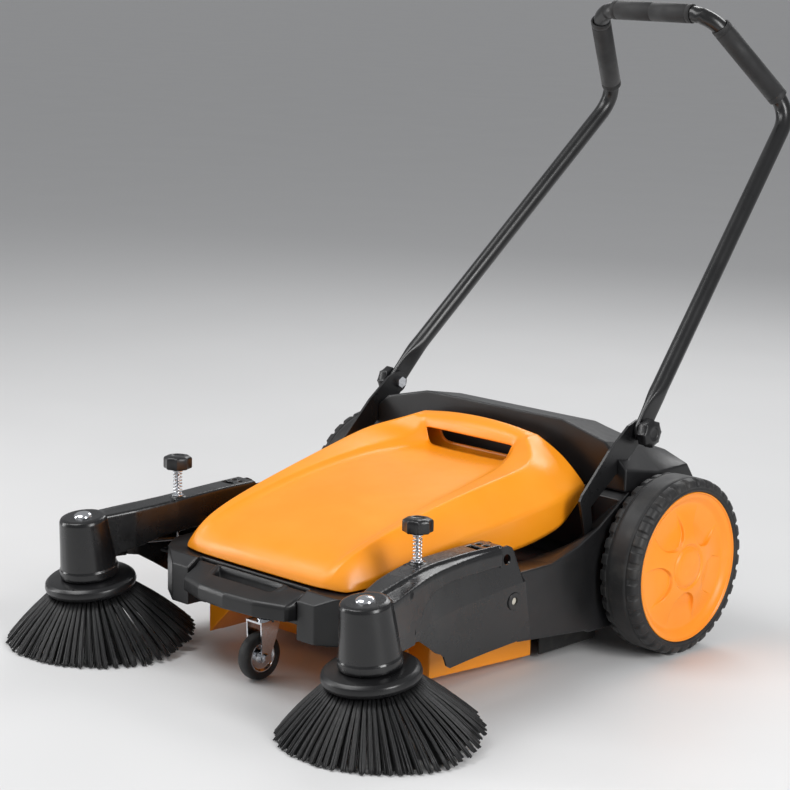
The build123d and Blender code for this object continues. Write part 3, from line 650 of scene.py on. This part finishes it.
both_sides("tyre_tread", tyre(), "wheel_tyre", "wheel", ["tyre"])
both_sides("rim_disc", rim(), "orange_wheel", "wheel", ["rim"])
both_sides("cap", wheel_cap(), "orange_wheel", "wheel", ["wheel_cap"])
both_sides("belt_pulley", wheel_pulley(), "gear_plastic", "wheel", ["wheel_pulley"])


# ---- side brushes -----------------------------------------------------------
HEAD_TILT = math.radians(8)
HEAD = (Matrix.Translation(at(313, -656, 12)) @ Matrix.Rotation(HEAD_TILT, 4, "X")
        @ Matrix.Scale(MM, 4))
TUFT_RINGS = (  # tufts in the ring, radius at the disc and at the floor, turn in tufts
    (66, 58, 152.5, 0.0), (58, 52, 144, 0.5), (50, 45, 132, 0.2))
TUFT_TOP = Vector((0, 0, 84))
TUFT_FOOT = Vector((0, 0, -7))
BRISTLES = 7  # in a tuft: one in the middle and six round it
BRISTLE_R = 1.32
FLOOR_GAP = 1.5


def tuft(rows_of, angle, top_r, foot_r, rng):
    """A bundle of stiff bristles from the disc to the floor, cut off square."""
    out = polar(1, angle)
    across = Vector((-out.y, out.x, 0))
    lean = rng.uniform(-1.6, 1.6)
    reach = foot_r + rng.uniform(-2.5, 2.5)
    for i in range(BRISTLES):
        ring = 0.0 if i == 0 else 2.15
        turn = math.pi / 3 * i + rng.uniform(-0.2, 0.2)
        offset = across * ring * math.cos(turn) + out * ring * math.sin(turn) * 0.8
        start = out * top_r + TUFT_TOP + offset * 0.7
        end = out * (reach + rng.uniform(-1.5, 1.5)) + TUFT_FOOT + offset * 1.25
        end += across * lean
        path = [HEAD @ (start.lerp(end, t) + out * 4.5 * math.sin(math.pi * t))
                for t in (k / 5 for k in range(6))]
        floor = FLOOR_GAP * MM + rng.uniform(0, 1.2) * MM
        while path[-1].z < floor:
            over = path[-2].z - path[-1].z
            share = (path[-2].z - floor) / over if path[-2].z > floor else 0
            if share > 0.02:
                path[-1] = path[-2].lerp(path[-1], share)
                break
            path.pop()
        rows_of.append(tube(path, [BRISTLE_R] * (len(path) - 1) + [1.28], 6))


def tufts(seed):
    rng = random.Random(seed)
    parts = []
    for count, top_r, foot_r, shift in TUFT_RINGS:
        for i in range(count):
            angle = 2 * math.pi * (i + shift) / count + rng.uniform(-0.012, 0.012)
            tuft(parts, angle, top_r, foot_r, rng)
    return joined("tufts", parts)


def brush_disc():
    profile = [(0.01, 78), (44, 78), (60, 78), (64, 80), (70.5, 84), (73, 90), (71.5, 97),
               (66, 101.5), (54, 103), (43, 103.3), (41, 106), (16, 106), (14, 109), (14, 128),
               (24, 128), (24, 133), (8, 133), (8, 181.5), (0.01, 182)]
    return mesh_of("disc", *spun(profile, HEAD, 96, 1.6))


def bolt_head():
    profile = [(0.01, 184), (4.9, 184), (4.9, 200.8), (14.2, 200.8), (14.5, 202.2), (13.4, 204.4),
               (10.6, 206.4), (6, 207.9), (0.01, 208.4)]
    return mesh_of("bolt", *spun(profile, HEAD, 64, 0.7))


both_sides("bristles", tufts(7), "bristle", "side_brush", ["brush_tufts"])
both_sides("disc", brush_disc(), "black_trim", "side_brush", ["brush_disc"])
both_sides("dome_bolt", bolt_head(), "bright_metal", "arm", ["head_bolt"])


# ---- height adjusters and clamp knobs ---------------------------------------
KNOB_LOBES = 8
THREAD_PITCH = 1.5


def star_knob(place, radius, height):
    """Fluted knob with a domed top, a sunk centre and a short neck below."""
    heights = [  # share of the radius, height, share of the flute depth
        (0.01 / radius, 0.0, 0), (0.45, 0.0, 0), (0.47, 0.06, 0), (0.5, 0.10, 0), (0.86, 0.10, 0.6),
        (0.95, 0.13, 1), (1.0, 0.2, 1), (1.0, 0.74, 1), (0.985, 0.82, 1), (0.94, 0.89, 0.9),
        (0.86, 0.93, 0.5), (0.6, 0.985, 0), (0.5, 1.0, 0), (0.44, 0.985, 0), (0.42, 0.95, 0),
        (0.2, 0.95, 0), (0.01, 0.95, 0),
    ]
    rows = []
    steps = KNOB_LOBES * 14
    for share, high, flute in heights:
        row = []
        for k in range(steps):
            phase = (k * KNOB_LOBES / steps) % 1.0
            scallop = 1 - abs(2 * phase - 1) ** 2.4
            r = share * radius - flute * 0.115 * radius * scallop
            row.append(place @ polar(r, 2 * math.pi * k / steps, high * height))
        rows.append(row)
    return capped(rows)


def threaded_rod(place, low, high, radius):
    rows, sides = [], 20
    steps = int((high - low) / THREAD_PITCH * 6)
    for i in range(steps + 1):
        z = low + (high - low) * i / steps
        row = []
        for k in range(sides):
            wave = 0.5 + 0.5 * math.cos(2 * math.pi * (z / THREAD_PITCH - k / sides))
            r = radius - 0.55 * wave
            row.append(place @ polar(r, 2 * math.pi * k / sides, z))
        rows.append(row)
    return capped(rows)


KNOB = middle("adjust_knob_r")
KNOB_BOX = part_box("adjust_knob_r")
KNOB_R = spans("adjust_knob_r")[0] / 2
KNOB_PLACE = millimetres(Vector((KNOB.x, KNOB.y, KNOB_BOX[0].z)))


def helix(place, radius, low, high, turns, wire):
    steps = int(turns * 22)
    path = [place @ polar(radius, 2 * math.pi * turns * i / steps, low + (high - low) * i / steps)
            for i in range(steps + 1)]
    return tube(path, wire, 8)


def washer(place, inner, outer, low, high):
    profile = [(inner, low), (outer, low), (outer, high), (inner, high)]
    return spun(profile, place, 48, 0.3, closed=True)


knob_mesh = mesh_of("knob", *star_knob(
    KNOB_PLACE @ Matrix.Translation((0, 0, 1.5)), KNOB_R + 0.4, 24))
both_sides("star_knob", knob_mesh, "black_trim", "adjuster", ["adjust_knob"])
screw_low = (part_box("adjust_screw_r")[0].z - KNOB_BOX[0].z) / MM
rod_mesh = mesh_of("rod", *threaded_rod(KNOB_PLACE, screw_low, 4, 2.9))
both_sides("threaded_rod", rod_mesh, "bright_metal", "adjuster", ["adjust_screw"])
spring_mesh = joined("spring", [
    helix(KNOB_PLACE, 6.2, -38, -1.6, 7, 1.3),
    washer(KNOB_PLACE, 3.6, 9.4, -40.3, -38.8), washer(KNOB_PLACE, 3.6, 8.4, -0.6, 0.6)])
both_sides("spring", spring_mesh, "bright_metal", "arm", ["adjust_spring"])

CLAMP = middle("clamp_knob_r")
CLAMP_PLACE = millimetres(Vector((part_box("clamp_knob_r")[0].x, CLAMP.y, CLAMP.z)), (1, 0, 0))
CLAMP_HEIGHT, _, CLAMP_WIDTH = spans("clamp_knob_r")
clamp_mesh = mesh_of("clamp_knob", *star_knob(CLAMP_PLACE, CLAMP_WIDTH / 2, CLAMP_HEIGHT))
both_sides("clamp_star", clamp_mesh, "black_trim", "clamp", ["clamp_knob"])


# ---- shapes cut and fused in code -------------------------------------------
def loose(mesh):
    obj = bpy.data.objects.new("loose", mesh)
    bpy.context.scene.collection.objects.link(obj)
    return obj


def flat_sided(name, net):
    return mesh_of(name, *net, smooth=False)


def cut(mesh, cutters):
    """The mesh with each closed cutter taken away."""
    obj = loose(mesh)
    tools = []
    for cutter in cutters:
        tool = loose(flat_sided("cutter", cutter))
        tools.append(tool)
        step = obj.modifiers.new("cut", "BOOLEAN")
        step.operation = "DIFFERENCE"
        step.solver = "EXACT"
        step.object = tool
    out = settled(obj)
    for extra in [obj, *tools]:
        bpy.data.objects.remove(extra)
    return out


def merged(name, meshes):
    """One mesh that holds them all, not joined where they meet."""
    bm = bmesh.new()
    for mesh in meshes:
        bm.from_mesh(mesh)
    whole = bpy.data.meshes.new(name)
    bm.to_mesh(whole)
    bm.free()
    return whole


def fused(name, meshes, cell, smoothing, keep=1.0):
    """Several closed shells as one moulding with small fillets where they meet."""
    obj = loose(merged(name, meshes))
    net = obj.modifiers.new("net", "REMESH")
    net.mode = "VOXEL"
    net.voxel_size = cell * MM
    ease = obj.modifiers.new("ease", "SMOOTH")
    ease.factor = 0.5
    ease.iterations = smoothing
    if keep < 1:
        obj.modifiers.new("thin", "DECIMATE").ratio = keep
    out = settled(obj)
    out.name = name
    out.shade_smooth()
    bpy.data.objects.remove(obj)
    return out


def level(table, where):
    """Value at where on a line through (place, value) pairs."""
    if where <= table[0][0]:
        return table[0][1]
    for (a, va), (b, vb) in zip(table, table[1:]):
        if where <= b:
            return va + (vb - va) * (where - a) / (b - a)
    return table[-1][1]


def both_halves(left):
    """A line across the machine from its left half; a point in the middle is kept once."""
    return left + [(-x, y) for x, y in reversed(left) if x]


def wall_x(outline, x0, x1):
    """Closed solid from a (y, z) outline between two x planes."""
    return prism(outline, x0, x1, lambda a, b, c: at(c, a, b))


def wall_z(outline, z0, z1):
    return prism(outline, z0, z1, lambda a, b, c: at(a, b, c))


def disc_x(x0, x1, y, z, radius, steps=40):
    ring = [(y + radius * math.cos(a), z + radius * math.sin(a)) for a in angles(steps)]
    return wall_x(ring, x0, x1)


# ---- side brush arms --------------------------------------------------------
ARM_WALL = 3.2
PIN_HOLE_R = 6.1
HINGE = (-345, 140)
EYE = (-360, 207)
ARM_TOP = [(-700, 209), (-600, 221), (-527, 228), (-440, 231.5), (-372, 231.5)]
ARM_OUTER = [(-668, 345), (-605, 327), (-560, 314), (-527, 306.5), (-480, 300), (-440, 296.5),
             (-400, 295.5)]
ARM_INNER = [(-668, 286), (-610, 264), (-545, 250), (-500, 249)]
ARM_STEP = [(-660, 312), (-600, 301), (-560, 293), (-527, 287), (-440, 287), (-372, 291)]
ARM_HOLES = (  # near the ear and by the adjuster: x from and to, y from and to, lowest z
    (260, 268, -398, -388, 215), (274, 283, -398, -388, 215),
    (253, 258.5, -548, -542, 210), (253, 258.5, -536, -529, 210),
)
ARM_STATIONS = (-664, -640, -615, -590, -565, -540, -515, -490, -455, -420, -396, -374)


def arm_beam():
    """Roof and cheeks from the head to the ear, a U section open below."""
    rows = []
    for y in ARM_STATIONS:
        top, out = level(ARM_TOP, y), level(ARM_OUTER, y)
        inn, step = level(ARM_INNER, y), level(ARM_STEP, y)
        low = level([(-664, 129), (-580, 129), (-560, 190), (-500, 200)], y)
        low_in = level([(-664, 129), (-640, 150), (-560, 172), (-500, 176)], y)
        w = ARM_WALL
        section = [
            (out, low), (out, top - 14), (out - 1.5, top - 6.5), (step + 3, top - 5),
            (step + 1, top - 4), (step, top - 0.4), (step - 1, top), (inn + 4, top),
            (inn + 1, top - 1.2), (inn, top - 4), (inn, low_in), (inn + w, low_in),
            (inn + w, top - 8.5), (out - w, top - 9.5), (out - w, low),
        ]
        rows.append([at(x, y, z) for x, z in section])
    return flat_sided("beam", capped(rows))


ARM_PANEL = [  # (y, z) of the lower edge, the crease and the upper edge, front to rear
    ((-590, 132), (-590, 146), (-592, 211)), ((-572, 129), (-572, 148), (-574, 213)),
    ((-546, 113), (-546, 150), (-548, 216)), ((-522, 97), (-524, 151.5), (-526, 218.5)),
    ((-509, 92), (-511, 152.3), (-513, 219.5)), ((-503, 87), (-503, 153), (-504, 220)),
    ((-495, 71), (-493, 153.5), (-492, 220.5)), ((-487, 66), (-483, 154.5), (-478, 221)),
    ((-440, 67.5), (-440, 157.5), (-440, 222)), ((-402, 69.5), (-408, 160), (-412, 222)),
    ((-366, 71.3), (-378, 162.5), (-389, 222)), ((-345, 72.3), (-362, 163.8), (-377, 223.5)),
    ((-330, 73), (-350, 164.6), (-367, 227)), ((-318, 73.5), (-340, 165.3), (-356, 227.3)),
    ((-309, 74), (-332, 165.8), (-347, 223)), ((-304, 75), (-326, 166.2), (-341, 214)),
    ((-300, 80), (-321, 166.5), (-329, 184)),
]


def thick(rows, shift):
    """A net given thickness: the same net moved by shift, and a rim between them."""
    front, faces = grid(rows)
    count, width, height = len(front), len(rows[0]), len(rows)
    back = [p + shift for p in front]
    faces += [tuple(count + i for i in reversed(f)) for f in faces]
    rim = list(range(width)) + [i * width + width - 1 for i in range(1, height)]
    rim += [(height - 1) * width + j for j in range(width - 2, -1, -1)]
    rim += [i * width for i in range(height - 2, 0, -1)]
    for a, b in zip(rim, rim[1:] + rim[:1]):
        faces.append((a, b, count + b, count + a))
    return front + back, faces


def arm_panel():
    """Outer cheek: two flats that meet at a crease, an ear, and a notch by the head."""
    rows = []
    for low, fold, top in ARM_PANEL:
        net = []
        for y, z, back in ((*low, 4.5), (*fold, 0.0), (*top, 6.5)):
            net.append(at(level(ARM_OUTER, y) + 0.8 - back, y, z))
        lower, upper = net[0].lerp(net[1], 0.5), net[1].lerp(net[2], 0.5)
        rows.append([net[0], lower, net[1], upper, net[2]])
    return flat_sided("panel", thick(rows, Vector((-ARM_WALL * MM, 0, 0))))


def arm_shape():
    head = [(0.01, 202), (30, 202), (35.5, 200.5), (38, 196), (38.4, 190), (44.6, 124), (44.9, 120),
            (46.6, 118.5), (47, 108), (46, 105), (42.5, 105), (41.8, 116), (34, 194), (0.01, 197)]
    cone = mesh_of("cone", *spun(head, HEAD, 96))
    slots = [wall_z([(260, -418), (284, -420), (284, -408), (260, -406)], 215, 240)]
    slots += [wall_z([(x0, y0), (x1, y0), (x1, y1), (x0, y1)], low, 240)
              for x0, x1, y0, y1, low in ARM_HOLES]
    beam = cut(arm_beam(), slots)
    lug = flat_sided("lug", wall_x(rounded([
        (-400, 176), (-385, 108), (-372, 104), (-318, 104), (-310, 112), (-322, 166), (-341, 214),
        (-352, 226), (-378, 228), (-400, 228)], 5), 249, 252))
    end = flat_sided("end", wall_x([(-377, 196), (-373, 196), (-373, 231), (-377, 231)], 249, 294))
    inner_boss = flat_sided("boss", disc_x(249, 253, *HINGE, 14))
    nub = mesh_of("nub", *spun([(0.01, -8), (6, -8), (6, 1), (4.5, 2.2), (0.01, 2.4)],
                               millimetres(at(325.5, -606, 206), (0.95, -0.1, 0.35)), 32))
    seat = mesh_of("seat", *spun([(5.5, -6), (12, -6), (12, 1.4), (11.2, 2.0), (5.5, 2.0)],
                                 millimetres(Vector((KNOB.x, KNOB.y, 0.2275))), 48, closed=True))
    core = fused("arm_core", [cone, beam, lug, end, inner_boss, nub, seat], 1.15, 6, 0.6)
    core = cut(core, [disc_x(240, 305, *HINGE, PIN_HOLE_R)])
    panel = loose(cut(arm_panel(), [disc_x(280, 305, *HINGE, PIN_HOLE_R),
                                    disc_x(280, 305, *EYE, 8, 48)]))
    soften(panel, 1.1, 3, 6)
    panel_mesh = settled(panel)
    boss_ring = mesh_of("boss", *spun([(6.2, 0), (13, 0), (14, 1.2), (14, 4), (6.2, 4)],
                                      millimetres(at(297.4, *HINGE), (-1, 0, 0)), 48, 0.4, True))
    shape = merged("arm_shape", [core, panel_mesh, boss_ring])
    bpy.data.objects.remove(panel)
    shape.shade_smooth()
    return shape


for arm in both_sides("arm_shell", arm_shape(), "black_arm", "arm", ["arm"]):
    even_normals(arm)


# ---- chassis, bumper, bin and covers ----------------------------------------
def cad_mesh(node):
    """A welded copy of a CAD node's mesh, to be softened into a moulding."""
    mesh = NODES[node].data.copy()
    bm = bmesh.new()
    bm.from_mesh(mesh)
    bmesh.ops.remove_doubles(bm, verts=bm.verts, dist=1e-5)
    bm.to_mesh(mesh)
    bm.free()
    mesh.materials.clear()
    return mesh


BUMPER_HALF = 119.5
BUMPER_FRONT = both_halves([(-BUMPER_HALF, -630), (-119.4, -635), (-112, -647.5), (-60, -664),
                            (0, -669)])


def bumper():
    """Bowed front lip with a raised rim round its hand slot."""
    rows = []
    for i in range(61):
        x = -BUMPER_HALF + 2 * BUMPER_HALF * i / 60
        y = level(BUMPER_FRONT, x)
        section = [(y, 127), (y - 0.4, 130), (y - 0.4, 145), (y + 1.6, 149.5), (y + 4, 151.4),
                   (-612, 166), (-607.4, 167), (-607.4, 127)]
        rows.append([at(x, a, b) for a, b in section])
    body = flat_sided("lip", capped(rows))
    ring = rounded(both_halves([(-82, -608.5), (-73, -640)]), 6)
    rim_rows = []
    for lift, grow in ((-8, 1.0), (1.8, 1.0), (3.2, 0.975)):
        rim_rows.append([at(x * grow, -624 + (y + 624) * grow, 159.5 + (y + 624) * 0.42 + lift)
                         for x, y in ring])
    shape = fused("bumper", [body, flat_sided("rim", capped(rim_rows))], 1.2, 3)
    slot = rounded(both_halves([(-72, -611), (-65, -634)]), 5)
    under = both_halves([(-116, -609), (-116, -633), (-109, -644), (-58, -659.5), (0, -664.5)])
    shape = cut(shape, [wall_z(slot, 100, 200), wall_z(under, 110, 147)])
    shape.shade_smooth()
    return shape


new_piece("bumper_lip", bumper(), "black_body", "chassis", ["front_bumper"])
SOFT_SHELLS = (  # CAD node, piece, look, body, cell size, smoothing passes, share of mesh kept
    ("chassis_tub", "chassis_shell", "black_body", "chassis", 1.5, 3, 0.22),
    ("rear_cover", "cover_shell", "black_body", "chassis", 1.6, 5, 0.22),
    ("bin", "bin_shell", "orange_body", "container", 1.4, 5, 0.22),
)
for node, name, look, body, cell, passes, keep in SOFT_SHELLS:
    new_piece(name, fused(name, [cad_mesh(node)], cell, passes, keep), look, body, [node])


# ---- handle -----------------------------------------------------------------
LEG = [(272.4, -20, 352), (266.5, 24, 406), (194, 462, 836), (121, 318, 1000), (0, 318, 1000)]
LEG_BENDS = ((16, 5), (46, 12), (46, 12))  # size and steps of each bend
TUBE_R = 14
TAB_END = 15  # how far the tab goes on past the clamp bolt
TAB_ROUND = 17  # length of its rounded end
TAB_HALF_THICK, TAB_HALF_WIDE = 4.0, 18.0
FLAT_TO, ROUND_FROM = 44, 104  # length where the tab stops, and where the tube is round
BAR_GRIP_HALF = Vector((85, 0, 0))


def handle_path():
    corners = [Vector(p) for p in LEG]
    path = [corners[0]]
    for before, p, after, (size, steps) in zip(corners, corners[1:], corners[2:], LEG_BENDS):
        path += bend_at(p, before, after, size, steps)
    return path + [corners[-1]]


def resampled(path, step):
    out = [path[0]]
    for a, b in zip(path, path[1:]):
        count = max(1, int((b - a).length / step))
        out += [a.lerp(b, k / count) for k in range(1, count + 1)]
    return out


def oval(angle, half_a, half_b, power):
    c, s = math.cos(angle), math.sin(angle)
    return (half_a * math.copysign(abs(c) ** (2 / power), c),
            half_b * math.copysign(abs(s) ** (2 / power), s))


def handle_leg():
    """Round tube that flattens toward the clamp, where its end is a rounded tab."""
    path = resampled(handle_path(), 12)
    start = path[0] - (path[1] - path[0]).normalized() * TAB_END
    path = [start] + [start.lerp(path[0], t) for t in (0.25, 0.5, 0.75)] + path
    length, rows = 0.0, []
    for i, p in enumerate(path):
        if i:
            length += (p - path[i - 1]).length
        ahead = (path[min(i + 1, len(path) - 1)] - path[max(i - 1, 0)]).normalized()
        side = Vector((1, 0, 0))
        side = (side - ahead * side.dot(ahead)).normalized()
        if abs(ahead.x) > 0.95:
            side = Vector((0, 0, 1)).cross(ahead).normalized()
        wide = ahead.cross(side)
        flat = 1 - ramp(length, FLAT_TO, ROUND_FROM)
        half_side = TUBE_R + (TAB_HALF_THICK - TUBE_R) * flat
        half_wide = TUBE_R + (TAB_HALF_WIDE - TUBE_R) * flat
        if length < TAB_ROUND:
            half_wide *= max(0.12, math.sqrt(1 - ((TAB_ROUND - length) / TAB_ROUND) ** 2))
        row = []
        for angle in angles(32):
            a, b = oval(angle, half_side, half_wide, 2 + 3.0 * flat)
            row.append(at(*(p + side * a + wide * b)))
        rows.append(row)
    return rows


both_sides("leg", mesh_of("leg", *capped(handle_leg())), "black_metal", "handle",
           ["handle_tube"], one_body=True)


def sleeve(a, b, radius, grooves):
    """Soft sleeve with rolled ends and a few shallow rings near them."""
    length = (b - a).length
    near = [(TUBE_R + 0.1, 0.6), (TUBE_R + 1.2, 0.0), (radius - 0.8, 0.0), (radius - 0.15, 0.5)]
    far = [(r, length - h) for r, h in reversed(near)]
    skin = [(radius, 1.4)]
    for place in grooves:
        for off, deep in ((-1.4, 0), (-0.7, 0.7), (0.7, 0.7), (1.4, 0)):
            skin.append((radius - deep, place * length + off))
    skin.sort(key=lambda point: point[1])
    return spun(near + skin + far, millimetres(at(*a), b - a), 48)


bend, corner, bar_middle = (Vector(p) for p in LEG[2:])
lean = (corner - bend).normalized()
grip_mesh = mesh_of("grip", *sleeve(bend + lean * 34, corner - lean * 28, 17.6, (0.06, 0.94)))
both_sides("foam_grip", grip_mesh, "grip_foam", "handle", ["grip"], one_body=True)
bar = mesh_of("bar", *sleeve(bar_middle - BAR_GRIP_HALF, bar_middle + BAR_GRIP_HALF, 16.6,
                             (0.05, 0.5, 0.95)))
new_piece("bar_grip", bar, "grip_foam", "handle", ["bar_sleeve"])


# ---- front caster -----------------------------------------------------------
CASTER_R = spans("caster_tyre")[2] / 2
CASTER_PLACE = millimetres(middle("caster_tyre"), (1, 0, 0))


def caster_part(name, half, rounding):
    """Half a profile of (radius, offset) and its mirror image, turned about the axle."""
    profile = half + [(r, -offset) for r, offset in reversed(half)]
    return mesh_of(name, *spun(profile, CASTER_PLACE, 72, rounding, closed=True))


TREAD = [(24.6, -9), (26, -10.4), (31.5, -11), (35, -9.6), (36.9, -6), (CASTER_R, -2)]
HUB = [(4.1, -13), (8.6, -13), (9, -12), (9.4, -7), (12, -5.2), (20, -5.6), (22.5, -9),
       (24.5, -9.2)]
new_piece("caster_tread", caster_part("caster_tread", TREAD, 1.2), "wheel_tyre",
          "caster_wheel", ["caster_tyre"])
new_piece("caster_core", caster_part("caster_core", HUB, 0.6), "bright_metal",
          "caster_wheel", ["caster_hub"])


# ---- main roller ------------------------------------------------------------
ROLLER_LOW, ROLLER_HIGH = (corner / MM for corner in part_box("roller_bristles"))
ROLLER_R = (ROLLER_HIGH.y - ROLLER_LOW.y) / 2
ROLLER_HALF = (ROLLER_HIGH.x - ROLLER_LOW.x) / 2
ROLLER_PLACE = millimetres((ROLLER_LOW + ROLLER_HIGH) / 2 * MM, (1, 0, 0))
ROLLER_STRIPS = 6
SLEEVE_R = 36
TUFT_PITCH = 7


def roller_tufts(seed):
    """A moulded sleeve with six strips of tufts, three tufts wide, that reach the floor."""
    rng = random.Random(seed)
    sleeve_ends = [(30.2, -ROLLER_HALF), (SLEEVE_R, -ROLLER_HALF), (SLEEVE_R, ROLLER_HALF),
                   (30.2, ROLLER_HALF)]
    parts = [spun(sleeve_ends, ROLLER_PLACE, 48, 1.5, closed=True)]
    count = int(2 * ROLLER_HALF / TUFT_PITCH)
    for strip in range(ROLLER_STRIPS):
        out = polar(1, 2 * math.pi * strip / ROLLER_STRIPS)
        across = Vector((-out.y, out.x, 0))
        for i in range(count):
            for row in (-1, 0, 1):
                x = -ROLLER_HALF + TUFT_PITCH * (i + 0.5 + 0.25 * row)
                foot = out * (SLEEVE_R - 3) + across * 5 * row + Vector((0, 0, x))
                lean = across * rng.uniform(-1, 1) + Vector((0, 0, rng.uniform(-1.2, 1.2)))
                reach = ROLLER_R - SLEEVE_R + 2.4 - abs(row) - rng.uniform(0, 0.6)
                tip = foot + out * reach + lean
                path = [ROLLER_PLACE @ p for p in (foot, foot.lerp(tip, 0.5), tip)]
                parts.append(tube(path, [1.9, 1.9, 2.2], 6))
    return joined("roller_tufts", parts)


new_piece("roller_brush", roller_tufts(11), "bristle", "main_brush", ["roller_bristles"])


# ---- CAD nodes that stay, with their own materials --------------------------
SLOT_OF = {row["node"]: row["material_slot"] for row in frame["record"]["subparts"]}
for node_name, node in NODES.items():
    if not node.hide_render:
        node.data.materials.clear()
        node.data.materials.append(LOOKS[SLOT_OF[node_name]])
        soften(node, 1.2, weld=True)


# ---- camera, floor and light ------------------------------------------------
CAMERA_LENS = 104.9
CAMERA_AIM = (0, AXLE_Y - 0.3057, 0.4061)
CAMERA_AZIMUTH = math.radians(43.684)
CAMERA_RISE = math.radians(11.376)
CAMERA_ROLL = math.radians(1.3)
CAMERA_DISTANCE = 3.647
FLOOR_RADIUS = 70
WORLD_STRENGTH = 0.42
SOFT_BOXES = (  # name, place from the middle of the machine, width, height, watts
    ("key", (-1.2, -1.6, 2.6), 2.2, 1.6, 60),
    ("side", (3.0, -0.6, 1.3), 0.9, 2.2, 72),
    ("strip", (-2.4, -1.8, 0.6), 0.5, 2.0, 26),
    ("back", (-1.0, 2.6, 1.9), 2.4, 1.0, 36),
)


def placed(spot, direction, axis):
    """Where something stands at spot with its own axis turned to a direction."""
    return Matrix.Translation(spot) @ direction.to_track_quat(axis, "Y").to_matrix().to_4x4()


def place_camera(scene):
    camera = bpy.data.objects.new("camera", bpy.data.cameras.new("camera"))
    camera.data.lens = CAMERA_LENS
    camera.data.clip_end = 200
    flat = math.cos(CAMERA_RISE)
    away = Vector((math.sin(CAMERA_AZIMUTH) * flat, -math.cos(CAMERA_AZIMUTH) * flat,
                   math.sin(CAMERA_RISE)))
    spot = Vector(CAMERA_AIM) + away * CAMERA_DISTANCE
    camera.matrix_world = placed(spot, away, "Z") @ Matrix.Rotation(CAMERA_ROLL, 4, "Z")
    scene.collection.objects.link(camera)
    scene.camera = camera


def lay_floor(scene):
    mesh = bpy.data.meshes.new("floor")
    bm = bmesh.new()
    bmesh.ops.create_circle(bm, cap_ends=True, radius=FLOOR_RADIUS, segments=96)
    bm.to_mesh(mesh)
    bm.free()
    floor = bpy.data.objects.new("floor", mesh)
    scene.collection.objects.link(floor)
    n = Nodes("studio_floor")
    n.uneven_gloss(n.noise(3, 4), 0.5, 0.62)
    n.feed("Base Color", (0.72, 0.72, 0.72, 1))
    mesh.materials.append(n.material)


def light_the_room(scene):
    world = bpy.data.worlds.new("studio")
    world.use_nodes = True
    sky = world.node_tree.nodes["Background"]
    sky.inputs["Color"].default_value = (0.8, 0.81, 0.83, 1)
    sky.inputs["Strength"].default_value = WORLD_STRENGTH
    scene.world = world
    scene.view_settings.view_transform = "Standard"
    centre = (CAD_BOX[0] + CAD_BOX[1]) / 2
    for name, offset, width, height, watts in SOFT_BOXES:
        light = bpy.data.lights.new(name, "AREA")
        light.shape = "RECTANGLE"
        light.size, light.size_y, light.energy = width, height, watts
        lamp = bpy.data.objects.new(name, light)
        lamp.matrix_world = placed(centre + Vector(offset), -Vector(offset), "-Z")
        scene.collection.objects.link(lamp)


place_camera(bpy.context.scene)
lay_floor(bpy.context.scene)
light_the_room(bpy.context.scene)
